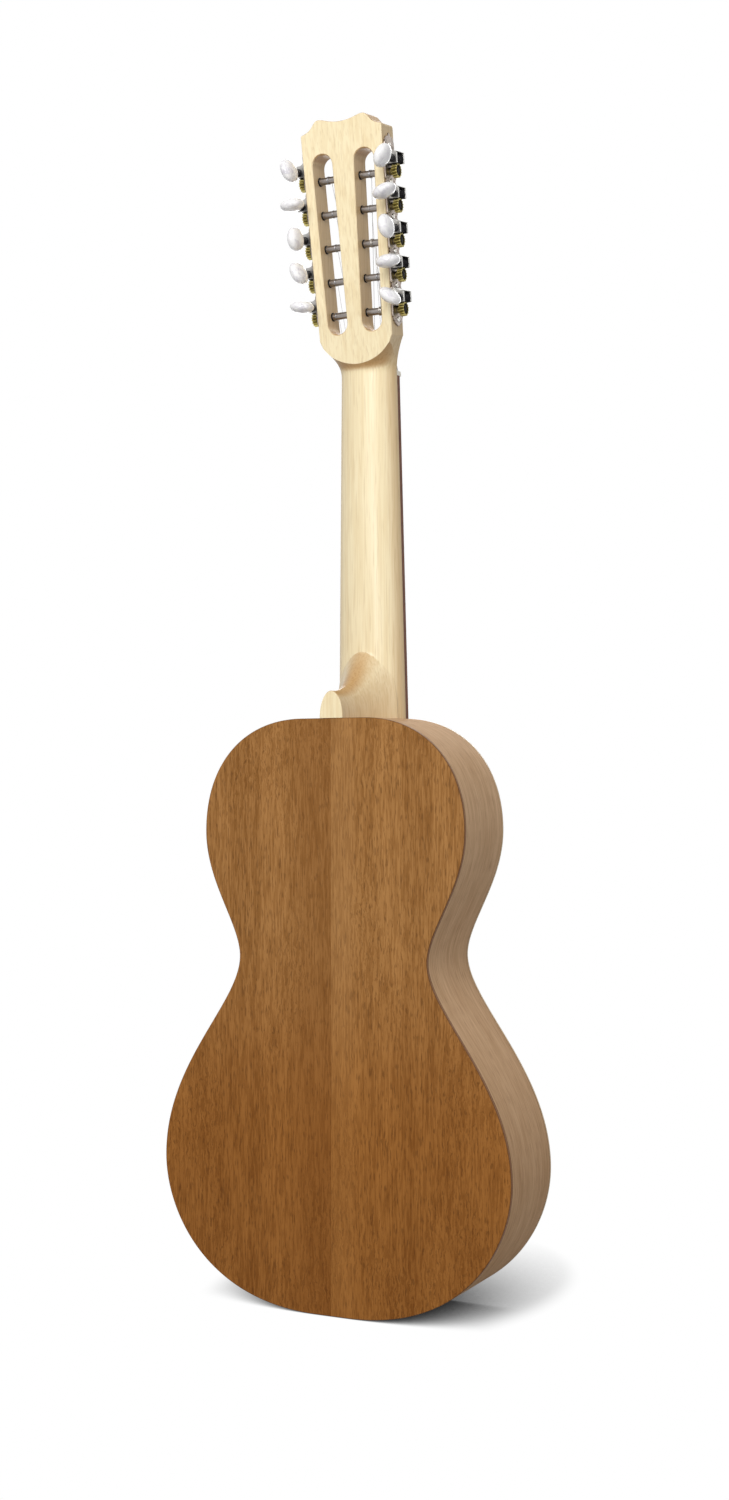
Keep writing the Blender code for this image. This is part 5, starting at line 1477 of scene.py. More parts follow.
@dataclass
class Fingerboard:
    """The dark fingerboard with its frets and pearl dots, and the grooved nut."""

    wardrobe: Wardrobe
    frets: int = 18
    tail: float = 0.0060
    fret_size: Spot = (0.0022, 0.0011)
    dots: tuple[int, ...] = (5, 7, 10, 12)
    nut_size: Spot = (0.0040, 0.0022)

    def board(self) -> None:
        """The board, with its upper edges rounded."""
        top = PLAN.front - PLAN.glue - PLAN.board
        radius = 0.0006

        def ring(z: float) -> list[Vector]:
            """The board's section at a height."""
            half = PLAN.neck_half(z)
            curl = [(half - radius * (1 - math.sin(a)), top + radius * (1 - math.cos(a)))
                    for a in (math.pi / 2 * i / 4 for i in range(5))]
            right = [(half, PLAN.front), *reversed(curl)]
            return [Vector((x, y, z)) for x, y in [*right, *[(-x, y) for x, y in reversed(right)]]]

        foot = PLAN.fret_z(self.frets) - self.tail
        stops = [foot + (PLAN.nut - foot) * i / 8 for i in range(9)]
        rings = [ring(z) for z in stops]
        piece = Skin("fingerboard_blank", rings[0]).draw(*rings[1:]).done(30.0)
        self.wardrobe.dress(piece, "dark", stands_for=["fingerboard"])

    def wires(self) -> None:
        """The frets, modelled once and cut to the board's width at each place."""
        wide, high = self.fret_size
        reach = 0.025
        bead = [(-wide / 2 * math.cos(a), -high * math.sin(a)) for a in (math.pi * i / 10 for i in range(11))]
        ends = [(-reach, 0.55), (-reach + 0.0006, 1.0), (reach - 0.0006, 1.0), (reach, 0.55)]
        rings = [[Vector((x, y * size if y < 0 else 0.0006, z)) for z, y in
                  [*bead[1:-1], (wide / 2, 0.0006), (-wide / 2, 0.0006)]] for x, size in ends]
        master = Skin("fret", rings[0]).draw(*rings[1:]).done(35.0, weighted=False)
        top = PLAN.front - PLAN.glue - PLAN.board
        made = []
        for number in range(1, self.frets + 1):
            z = PLAN.fret_z(number)
            size = (PLAN.neck_half(z) - 0.0004) / reach
            place = Matrix.Translation((0.0, top, z)) @ Matrix.Diagonal((size, 1.0, 1.0, 1.0))
            made.append(copied(master, f"fret_{number}", place))
        scrap(master)
        self.wardrobe.dress(joined(made, "frets"), "fret_metal")

    def markers(self) -> None:
        """Round pearl dots between the frets, two at the octave."""
        top = PLAN.front - PLAN.glue - PLAN.board
        spots = []
        for number in self.dots:
            z = (PLAN.fret_z(number) + PLAN.fret_z(number - 1)) / 2
            spots += [(-0.011, z), (0.011, z)] if number == 12 else [(0.0, z)]
        master = turned("dot", [(0.0006, 0.0028), (-0.00004, 0.0028), (-0.00008, 0.0026)], 28, "Y")
        made = [copied(master, f"dot_{i}", Matrix.Translation((x, top, z))) for i, (x, z) in enumerate(spots)]
        scrap(master)
        self.wardrobe.dress(shade(joined(made, "fingerboard_dots")), "pearl")

    def nut(self, strings: Sequence["StringPath"]) -> None:
        """The nut, rounded on top and grooved for each string.

        Args:
            strings: the strings that lie over it.
        """
        long, rise = self.nut_size
        base, crest = PLAN.front - PLAN.glue, PLAN.front - PLAN.glue - PLAN.board - rise
        low, high = PLAN.nut + 0.00005, PLAN.nut + 0.00005 + long
        profile = [(base, low), (crest + 0.0003, low), *[
            (crest + rise * 0.5 * (1 - math.cos(a)), low + 0.0010 + (long - 0.0012) * math.sin(a))
            for a in (math.pi / 2 * i / 6 for i in range(7))], (base + math.tan(PLAN.lean) * long, high)]
        half = PLAN.neck_halves[1]
        piece = slab("nut_bone", profile, levels_of(-half, half, 0.0004, 2), lambda spot, x: (x, *spot))
        for string in strings:
            radius = string.radius + 0.00005
            reach = [(z, radius) for z in (low - 0.002, high + 0.002)]
            lift = Matrix.Translation((string.nut_x, string.nut_y, 0.0))
            carve(piece, turned("groove", reach, 10, "Z", lift))
        self.wardrobe.dress(shade(piece, 35.0), "bone", stands_for=["nut"])

    def build(self, strings: Sequence["StringPath"]) -> None:
        """Make the board, its frets and dots, and the nut."""
        self.board()
        self.wires()
        self.markers()
        self.nut(strings)


# ---------------------------------------------------------------- strings and bridge


@dataclass
class StringPath:
    """One string's place at the bridge, the nut and its post."""

    side: Side
    number: int
    radius: float
    bridge_x: float
    nut_x: float
    post_lane: float
    wound: bool
    saddle_z: float = 0.1785
    tail: float = 0.0175
    hole_rise: float = 0.0064
    saddle_rise: float = 0.0112

    @property
    def nut_y(self) -> float:
        """How far in front the string's middle lies at the nut."""
        return PLAN.front - PLAN.glue - PLAN.board - 0.0022 - self.radius + 0.0002

    def post_point(self, turn: float, lane_shift: float, radius: float) -> Vector:
        """A point round this string's post.

        Args:
            turn: the angle about the post, 0 towards the back.
            lane_shift: how far along the post from the string's lane.
            radius: the distance from its axis.

        Returns:
            The point.
        """
        along = PLAN.posts[self.number - 1]
        lane = PLAN.slot_centre(along) + self.post_lane
        out = (lane - PLAN.head_halves[0] - math.sin(PLAN.slope) * along) / math.cos(PLAN.slope)
        spot = Vector((out + lane_shift, radius * math.cos(turn), radius * math.sin(turn)))
        return PLAN.machine(self.side, along) @ spot

    def tangent(self) -> float:
        """The angle at which the string meets its post."""
        grip = PLAN.post_radius + self.radius
        nut = PLAN.machine(self.side, PLAN.posts[self.number - 1]).inverted() @ Vector(
            (self.nut_x, self.nut_y, PLAN.nut + 0.004))
        return math.atan2(nut.z, nut.y) - math.acos(grip / math.hypot(nut.y, nut.z))

    def route(self) -> list[Vector]:
        """The taut string from its end behind the bridge over saddle and nut to its post."""
        seat = PLAN.front - PLAN.glue
        hole, crest = seat - self.hole_rise, seat - self.saddle_rise - self.radius + 0.0001
        x, saddle = self.bridge_x, self.saddle_z
        grip = PLAN.post_radius + self.radius
        spots = [Vector((x, hole, saddle - self.tail - 0.0012)), Vector((x, hole, saddle - self.tail + 0.004)),
                 Vector((x, hole, saddle - self.tail + 0.0102)), Vector((x, crest + 0.0003, saddle - 0.0011)),
                 Vector((x, crest, saddle)), Vector((x, crest, saddle + 0.0008))]
        nut = Vector((self.nut_x, self.nut_y, PLAN.nut))
        spots += [spots[-1].lerp(nut, share) for share in (0.25, 0.5, 0.75)]
        spots += [nut, Vector((self.nut_x, self.nut_y, PLAN.nut + 0.0012)),
                  Vector((self.nut_x, self.nut_y + 0.0002, PLAN.nut + 0.0030))]
        return [*spots, self.post_point(self.tangent(), 0.0, grip)]

    def coil(self) -> list[Vector]:
        """The string's turns round its post, with its end tucked in."""
        grip, way = PLAN.post_radius + self.radius, -math.copysign(1.0, self.post_lane)
        start, turns, steps = self.tangent(), 3.25, 78
        path = [self.post_point(start - 2 * math.pi * turns * i / steps,
                                way * turns * i / steps * 2.1 * self.radius, grip) for i in range(steps + 1)]
        end = start - 2 * math.pi * turns
        return [*path, self.post_point(end - 0.35, way * turns * 2.1 * self.radius, 0.4 * grip)]


def plan_strings() -> list[StringPath]:
    """The ten strings, from the outer to the inner one of each side."""
    thick = {Side.TREBLE: (0.25, 0.25, 0.32, 0.32, 0.42), Side.BASS: (0.86, 0.38, 0.66, 0.28, 0.42)}
    wound = {Side.TREBLE: (0, 0, 0, 0, 0), Side.BASS: (1, 0, 1, 0, 0)}
    lanes = (0.0050, 0.0030, 0.0002, -0.0015, -0.0002)
    made = []
    for side in Side:
        for i in range(5):
            course, outer = 2 - i // 2, 1 - 2 * (i % 2)
            made.append(StringPath(side, i + 1, thick[side][i] / 2000,
                                   side.value * (course * 0.0145 + outer * 0.0013),
                                   side.value * (course * 0.0099 + outer * 0.0011), lanes[i],
                                   bool(wound[side][i])))
    return made


@dataclass
class Strings:
    """The strings, their turns round the posts and the small brass balls that hold them."""

    wardrobe: Wardrobe
    paths: Sequence[StringPath]

    def build(self) -> None:
        """Make every string."""
        ball = turned("ball", [(-0.0012, 0.0006), (-0.0012, 0.0010), (-0.0009, 0.0012), (0.0009, 0.0012),
                               (0.0012, 0.0010), (0.0012, 0.0006)], 20, "Z")
        shade(ball, 30.0, weighted=False)
        for path in self.paths:
            key = "wound_string" if path.wound else "plain_string"
            tag = f"{path.side.label}_{path.number}"
            route = path.route()
            self.wardrobe.dress(wire(f"taut_string_{tag}", route, path.radius), key,
                                stands_for=[f"string_{tag}"])
            coil = wire(f"string_turns_{tag}", path.coil(), path.radius)
            self.wardrobe.dress(coil, key, body=f"wheel_and_post_{tag}")
            place = Matrix.Translation(route[0] + Vector((0.0, 0.0, -0.0004)))
            self.wardrobe.dress(copied(ball, f"string_ball_{tag}", place), "brass")
        scrap(ball)


@dataclass
class Bridge:
    """The glued bridge with its tie block and leaf-shaped wings, and the saddle."""

    wardrobe: Wardrobe
    place: float = 0.1785
    base: Spot = (0.0410, 0.0040)
    wing: Spot = (0.0600, 0.0880)
    nose: float = 0.0055
    tail: float = 0.0175
    block_half: float = 0.0400
    front_rise: float = 0.0072
    saddle_half: float = 0.0350
    saddle_rise: float = 0.0112

    def wings(self) -> list[Spot]:
        """The base's outline: a straight middle and two wings."""
        middle, depth = (self.nose - self.tail) / 2, (self.nose + self.tail) / 2
        stations = ((self.base[0], -1.0), (self.wing[0], -0.25), (self.wing[1], 0.85),
                    (self.wing[0], 0.30), (self.base[0], 1.0))
        handles = (((0.15, 1.0), (0.70, 1.0)), ((0.55, -0.64), (1.0, -0.23)),
                   ((0.20, 1.55), (0.59, 0.09)), ((0.30, 0.0), (0.85, 1.0)))
        half = [(x, self.place + middle + share * depth) for x, share in chain(stations, handles, (10, 18, 14, 10))]
        before, tip, after = half[27:30]
        half[28] = ((before[0] + after[0]) / 4 + tip[0] / 2, (before[1] + after[1]) / 4 + tip[1] / 2)
        return [*half, *[(-x, z) for x, z in reversed(half)]]

    def body(self, strings: Sequence[StringPath]) -> None:
        """The bridge's wood.

        Args:
            strings: the strings that pass through its tie block.
        """
        seat = PLAN.front
        base = slab("bridge_base", self.wings(), levels_of(seat, seat - self.base[1], 0.0005, 3, (False, True)),
                    lambda spot, y: (spot[0], y, spot[1]))
        low, high, tie, floor = -0.0014, 0.0014, self.tail - 0.0100, self.front_rise - 0.0035
        profile = [(-self.tail + 0.0003, 0.002), (self.nose - 0.0003, 0.002), (self.nose - 0.0022, self.front_rise),
                   (low * 2, self.front_rise), (low * 3, 0.0042), (-tie, 0.0042), (-tie, 0.0090),
                   (-self.tail + 0.0003, 0.0090)]
        block = slab("bridge_block", profile, [(-self.block_half, 0.0), (self.block_half, 0.0)],
                     lambda spot, x: (x, seat - PLAN.glue - spot[1], self.place + spot[0]))
        modify(block, "BEVEL", width=0.0007, segments=3, limit_method="ANGLE", angle_limit=math.radians(30))
        room = [(-self.saddle_half - 0.0003, low + 0.0003), (self.saddle_half + 0.0003, low + 0.0003),
                (self.saddle_half + 0.0003, high - 0.0003), (-self.saddle_half - 0.0003, high - 0.0003)]
        carve(block, slab("saddle_slot", [(x, self.place + z) for x, z in room],
                          [(seat - 0.02, 0.0), (seat - floor, 0.0)], lambda spot, y: (spot[0], y, spot[1])))
        for string in strings:
            lift = Matrix.Translation((string.bridge_x, seat - PLAN.glue - string.hole_rise, self.place))
            carve(block, turned("string_hole", [(-self.tail - 0.004, 0.0009), (-tie + 0.002, 0.0009)], 14, "Z", lift))
        piece = joined([base, block], "bridge_with_wings")
        self.wardrobe.dress(shade(piece, 38.0), "dark", stands_for=["bridge"])

    def saddle(self) -> None:
        """The bone saddle with its rounded crest."""
        seat, thick = PLAN.front - PLAN.glue, 0.0011
        crown = [(thick * math.cos(a), self.saddle_rise - thick * (1 - math.sin(a)))
                 for a in (math.pi * i / 10 for i in range(11))]
        profile = [(-thick, self.front_rise - 0.0034), (thick, self.front_rise - 0.0034), *crown]
        piece = slab("saddle_bone", profile, levels_of(-self.saddle_half, self.saddle_half, 0.0005, 2),
                     lambda spot, x: (x, seat - spot[1], self.place + spot[0]))
        self.wardrobe.dress(shade(piece, 35.0), "bone", stands_for=["saddle"])

    def build(self, strings: Sequence[StringPath]) -> None:
        """Make the bridge and its saddle."""
        self.body(strings)
        self.saddle()


# ---------------------------------------------------------------- machine heads


@dataclass
class MachineHeads:
    """Both side plates with their lugs and screws, and the ten worms, wheels, posts and buttons."""

    wardrobe: Wardrobe
    plate_half: float = 0.0092
    plate_thick: float = 0.0010
    lug_inner: float = 0.00535
    lug_thick: float = 0.0018
    lug_reach: float = 0.0041
    lug_top: float = 0.0046
    lug_corner: float = 0.0009
    teeth: int = 14
    wheel_radii: tuple[float, float] = (0.00415, 0.00564)
    wheel_width: float = 0.0044
    worm_radii: tuple[float, float] = (0.0026, 0.0041)
    worm_half: float = 0.00505
    lead: float = 0.002244
    button_size: Colour = (0.0050, 0.0195, 0.0092)
    button_turns: dict[Side, tuple[float, ...]] = field(default_factory=lambda: {
        Side.TREBLE: (80.0, 20.0, 0.0, 95.0, 15.0), Side.BASS: (50.0, -82.0, 8.0, -65.0, -25.0)})

    def plate_outline(self) -> list[Spot]:
        """The side plate's outline, across from its middle and along the head."""
        low, high = PLAN.posts[0] - 0.0076, PLAN.posts[-1] + 0.0191
        foot = [(0.0, low - 0.0052), (0.0030, low - 0.0040), (0.0066, low - 0.0015), (0.0092, low + 0.0035)]
        head = [(0.0092, high - 0.0130), (0.0066, high - 0.0085), (0.0082, high - 0.0030),
                (0.0079, high + 0.0030), (0.0054, high + 0.0068), (0.0028, high + 0.0070), (0.0, high + 0.0098)]
        half = smooth_line(foot, 5)
        for along in PLAN.posts[1:]:
            notch = along - 0.0076
            half += [(self.plate_half - 0.0014 * math.cos(math.pi / 2 * i / 4) ** 2, notch + 0.0028 * i / 4)
                     for i in range(-4, 5)]
        half += smooth_line(head, 5)
        return [*half, *[(-x, z) for x, z in reversed(half[1:-1])]]

    def plate(self, side: Side) -> None:
        """A side plate, dressed with its engraving."""
        near, far = 0.0, PLAN.glue + self.plate_thick
        place = PLAN.machine(side)
        piece = slab(f"side_plate_{side.label}", self.plate_outline(), levels_of(near, far, 0.0003, 2, (False, True)),
                     lambda spot, out: (out, spot[0], spot[1]), place)
        tidy(piece)
        self.wardrobe.dress(shade(piece, 30.0), f"plate_{side.label}", stands_for=[f"machine_plate_{side.label}"])

    def lug(self) -> Piece:
        """One rounded ear that holds a worm's shaft, about the worm's own centre.

        Returns:
            The master.
        """
        low = PLAN.glue + self.plate_thick / 2 - PLAN.mesh_plane
        outline = [(low, -0.0036)]
        for middle, start in ((-0.0036 + self.lug_corner, -90.0), (self.lug_top - self.lug_corner, 0.0)):
            outline += [(self.lug_reach - self.lug_corner * (1 - math.cos(a)), middle + self.lug_corner * math.sin(a))
                        for a in (math.radians(start + 22.5 * i) for i in range(5))]
        outline += [(low + 0.0040, self.lug_top), (low + 0.0018, 0.0056), (low, 0.0074)]
        return slab("lug", outline, levels_of(0.0, self.lug_thick, 0.0003, 2), lambda spot, y: (spot[0], y, spot[1]))

    def hood(self) -> Piece:
        """The thin strap over a worm, which flares down to the plate.

        Returns:
            The master.
        """
        low = PLAN.glue + self.plate_thick - PLAN.mesh_plane - 0.0002
        line = smooth_line([(low, 0.0082), (low + 0.0018, 0.0062), (low + 0.0040, 0.0053), (0.0036, 0.0053)], 5)
        outline = [*line, (0.0042, 0.0050), (0.0042, 0.0046), (0.0036, 0.0043), (low + 0.0038, 0.0043),
                   (low, 0.0043)]
        half = self.lug_inner + self.lug_thick - 0.0001
        return slab("hood", outline, levels_of(-half, half, 0.0003, 2), lambda spot, y: (spot[0], y, spot[1]))

    def screw(self) -> Piece:
        """A slotted screw with a domed head of radius one millimetre, along X.

        Returns:
            The master.
        """
        dome = [(-0.0004, 0.0010), (0.0, 0.0010)]
        dome += [(0.00046 * math.sin(a), 0.0010 * math.cos(a)) for a in (math.pi / 2 * i / 6 for i in range(1, 6))]
        piece = turned("screw", [*dome, (0.00046, 0.00008)], 28)
        slot = [(-0.0011, -0.00014), (0.0011, -0.00014), (0.0011, 0.00014), (-0.0011, 0.00014)]
        carve(piece, slab("slot", slot, [(0.00016, 0.0), (0.0008, 0.0)], lambda spot, x: (x, spot[0], spot[1])))
        return piece

    def wheel(self) -> Piece:
        """The toothed wheel with a recessed face, about its own centre.

        Returns:
            The master.
        """
        root, tip = self.wheel_radii
        slant = math.tan(math.atan(self.lead / (2 * math.pi * 0.0035))) / 0.0050
        half_pitch, lift = self.lead / 4 - 0.000125, math.tan(math.radians(20.0))
        tip_half, root_half = (half_pitch - 0.00064 * lift) / tip, (half_pitch + 0.00085 * lift) / root
        gap_half = math.pi / self.teeth

        def ring(out: float, reach: float) -> list[Vector]:
            """The toothed outline at a distance from the wheel's middle, or a circle inside it."""
            made = []
            for tooth in range(self.teeth):
                middle = 2 * math.pi * tooth / self.teeth + out * slant
                for radius, angle in ((root - 0.0001, -gap_half), (root, -root_half), (tip - 0.00012, -tip_half * 1.15),
                                      (tip, -tip_half * 0.6), (tip, tip_half * 0.6),
                                      (tip - 0.00012, tip_half * 1.15), (root, root_half)):
                    size = min(radius, reach)
                    turn = middle + angle
                    made.append(Vector((out, -size * math.sin(turn), size * math.cos(turn))))
            return made

        half = self.wheel_width / 2
        stations = [(-half - 0.0024, 0.0024), (-half - 0.0022, 0.0030), (-half - 0.0008, 0.0031),
                    (-half, 0.0038), (-half, tip - 0.0004), (-half + 0.0003, tip), (0.0, tip), (half - 0.0003, tip),
                    (half, tip - 0.0004), (half, 0.0044), (half - 0.0012, 0.0042), (half - 0.0012, 0.0024)]
        rings = [ring(*station) for station in stations]
        return Skin("wheel", rings[0]).draw(*rings[1:]).done(28.0)

    def post(self) -> Piece:
        """The string post with its collar behind the plate and its hub before the wheel.

        Returns:
            The master.
        """
        end = -(PLAN.head_half(PLAN.slot_ends[0] + PLAN.slot_width / 2) - (PLAN.slot_places[0] - PLAN.slot_width / 2)
                + 0.0045) - PLAN.mesh_plane
        face = PLAN.glue + self.plate_thick + 0.0003 - PLAN.mesh_plane
        radius = PLAN.post_radius
        stations = [(end, radius - 0.0004), (end + 0.0004, radius), (face + 0.0003, radius),
                    (face + 0.0005, 0.0024), (-self.wheel_width / 2 + 0.0002, 0.0024)]
        return shade(turned("post", stations, 32), 30.0)

    def worm(self) -> Piece:
        """The worm's thread, swept from its profile by a screw modifier and squared at its ends.

        Returns:
            The master, about its own centre with its axis along Y.
        """
        root, crest = self.worm_radii
        flat, turns, steps = 0.00042, 6.0, 30
        rise = (self.lead / 2 - flat) * 0.42
        profile = [(root, -self.lead / 2), (root, -flat / 2 - rise), (crest - 0.0001, -flat / 2 - 0.00005),
                   (crest, -flat / 2 + 0.0001), (crest, flat / 2 - 0.0001), (crest - 0.0001, flat / 2 + 0.00005),
                   (root, flat / 2 + rise), (root, self.lead / 2)]
        bpy.ops.object.select_all(action="DESELECT")
        bpy.ops.mesh.primitive_plane_add(size=0.01)
        piece = bpy.context.active_object
        piece.name = piece.data.name = "worm"
        bpy.ops.object.mode_set(mode="EDIT")
        bpy.ops.mesh.select_all(action="SELECT")
        bpy.ops.mesh.merge(type="CENTER")
        shape = bmesh.from_edit_mesh(piece.data)
        start = -self.lead * turns / 2
        shape.verts.ensure_lookup_table()
        shape.verts[0].co = (0.0, start + profile[0][1], -profile[0][0])
        bmesh.update_edit_mesh(piece.data)
        for before, after in zip(profile, profile[1:]):
            bpy.ops.mesh.extrude_region_move(TRANSFORM_OT_translate={
                "value": (0.0, after[1] - before[1], -(after[0] - before[0]))})
        bpy.ops.object.mode_set(mode="OBJECT")
        modify(piece, "SCREW", axis="Y", angle=2 * math.pi * turns, screw_offset=self.lead * turns,
               steps=round(steps * turns), render_steps=round(steps * turns), use_merge_vertices=True,
               merge_threshold=1e-6, use_smooth_shade=True)
        tidy(piece, 5e-6)
        select_only(piece)
        bpy.ops.object.mode_set(mode="EDIT")
        for end in (-1.0, 1.0):
            bpy.ops.mesh.select_all(action="SELECT")
            bpy.ops.mesh.bisect(plane_co=(0.0, end * self.worm_half, 0.0), plane_no=(0.0, end, 0.0),
                                use_fill=True, clear_outer=True)
        bpy.ops.mesh.select_all(action="SELECT")
        bpy.ops.mesh.normals_make_consistent(inside=False)
        bpy.ops.object.mode_set(mode="OBJECT")
        return shade(piece, 30.0, weighted=False)

    def shaft(self) -> Piece:
        """The worm's journals and the collar that the button is pressed into.

        Returns:
            The master.
        """
        back = self.lug_inner + self.lug_thick
        nose = [(-back - 0.0011, 0.0010), (-back - 0.0009, 0.0016), (-self.worm_half, 0.0016)]
        collar = [(back, 0.0016), (back + 0.0001, 0.0024), (back + 0.0004, 0.0030), (back + 0.0016, 0.0030),
                  (back + 0.0019, 0.0027), (back + 0.0030, 0.0026), (back + 0.0052, 0.0027), (back + 0.0056, 0.0030),
                  (back + 0.0066, 0.0030), (back + 0.0069, 0.0026), (back + 0.0075, 0.0020)]
        return shade(turned("shaft", [*nose, *collar], 28, "Y"), 30.0, weighted=False)

    def button(self) -> Piece:
        """The oval pearl button, about the worm's centre, with its broad way along Z.

        Returns:
            The master.
        """
        thick, long, wide = self.button_size
        start, layers, sides, full = self.lug_inner + self.lug_thick + 0.0065, 26, 40, 2.2
        rings = []
        for layer in range(layers + 1):
            middle = math.cos(math.pi * layer / layers)
            size = max(0.16, (1 - abs(middle) ** full) ** (1 / full))
            rings.append([Vector((thick * size * math.cos(a), start + (1 - middle) / 2 * long,
                                  wide * size * math.sin(a))) for a in (2 * math.pi * i / sides for i in range(sides))])
        return shade(Skin("button", rings[0]).draw(*rings[1:]).done(None), 60.0, weighted=False)

    def bushings(self, master: Piece, side: Side) -> None:
        """The dark bushings where a post enters the walls of its slot.

        Args:
            master: one bushing.
            side: the side of the head.
        """
        made = []
        for along in PLAN.posts:
            centre = PLAN.slot_centre(along)
            for edge, way in ((centre - PLAN.slot_width / 2, 1.0), (centre + PLAN.slot_width / 2, -1.0)):
                out = (edge - PLAN.head_halves[0] - math.sin(PLAN.slope) * along) / math.cos(PLAN.slope)
                place = PLAN.machine(side, along) @ Matrix.Translation((out, 0.0, 0.0)) @ Matrix.Diagonal((way, 1.0, 1.0, 1.0))
                made.append(copied(master, "bushing", place))
        piece = joined(made, f"post_bushings_{side.label}")
        self.wardrobe.dress(shade(piece, 30.0), "black")

    def build(self) -> None:
        """Model each part once and set its copies on both sides of the head."""
        masters = {"wheel": self.wheel(), "post": self.post(), "worm": self.worm(), "shaft": self.shaft(),
                   "button": self.button(), "screw": self.screw(), "lug": self.lug(), "hood": self.hood(),
                   # The recess piece is a dark ring on the floor of each wheel's recessed face: painted shade.
                   "recess_shade": turned("recess_shade", [(0.0009, 0.0041), (0.0011, 0.0041), (0.0011, 0.0020)], 28),
                   "bushing": turned("bushing", [(-0.0006, 0.0028), (0.0004, 0.0034), (0.0008, 0.0034),
                                                 (0.0010, 0.0032), (0.0010, 0.0028)], 28)}
        for side in Side:
            self.plate(side)
            self.bushings(masters["bushing"], side)
            fittings, screws = [], []
            for number, along in enumerate(PLAN.posts, 1):
                tag = f"{side.label}_{number}"
                self.set_machine(masters, side, tag, along)
                axis = PLAN.machine(side, along + PLAN.mesh_distance, PLAN.mesh_plane)
                for start in (-self.lug_inner - self.lug_thick, self.lug_inner):
                    fittings.append(copied(masters["lug"], "lug", axis @ Matrix.Translation((0.0, start, 0.0))))
                fittings.append(copied(masters["hood"], "hood", axis))
            for i, along in enumerate((*[post - 0.0076 for post in PLAN.posts], PLAN.posts[-1] + 0.0199)):
                turn = Matrix.Rotation(0.7 + 1.9 * i, 4, "X") @ Matrix.Diagonal((1.9, 1.9, 1.9, 1.0))
                place = PLAN.machine(side, along) @ Matrix.Translation((PLAN.glue + self.plate_thick, 0.0, 0.0))
                screws.append(copied(masters["screw"], "screw", place @ turn))
            ears = joined(fittings, f"worm_brackets_{side.label}")
            self.wardrobe.dress(shade(ears, 30.0), "silver")
            heads = joined(screws, f"plate_screws_{side.label}")
            self.wardrobe.dress(shade(heads, 35.0), "fret_metal")
        scrap(*masters.values())

    def set_machine(self, masters: dict[str, Piece], side: Side, tag: str, along: float) -> None:
        """Set one worm with its button, and one wheel with its post.

        Args:
            masters: the parts that were modelled once.
            side: the side of the head.
            tag: the side's word and the machine's number.
            along: where the post lies.
        """
        low = PLAN.machine(side, along, PLAN.mesh_plane)
        high = PLAN.machine(side, along + PLAN.mesh_distance, PLAN.mesh_plane)
        wheel_body, worm_body = f"wheel_and_post_{tag}", f"worm_and_button_{tag}"
        hub = low @ Matrix.Translation((self.wheel_width / 2 - 0.0011, 0.0, 0.0)) @ Matrix.Diagonal((2.2, 2.2, 2.2, 1.0))
        turn = self.button_turns[side][int(tag[-1]) - 1]
        dial = high @ Matrix.Rotation(math.radians(side.value * turn), 4, "Y")
        # The dark ring in the wheel's recess is painted shade.
        for name, place, key, body, node in (("wheel", low, "brass", wheel_body, wheel_body),
                                             ("post", low, "steel", wheel_body, None),
                                             ("recess_shade", low, "black", wheel_body, None),
                                             ("screw", hub, "black", wheel_body, None),
                                             ("worm", high, "black", worm_body, worm_body),
                                             ("shaft", high, "black", worm_body, None),
                                             ("button", dial, "pearl", worm_body, None)):
            label = "hub_screw" if name == "screw" else name
            piece = copied(masters[name], f"{label}_{tag}", place)
            if name in ("wheel", "post", "screw", "recess_shade"):
                shade(piece, 30.0)
            self.wardrobe.dress(piece, key, body=body, stands_for=[node] if node else ())


# ---------------------------------------------------------------- the studio


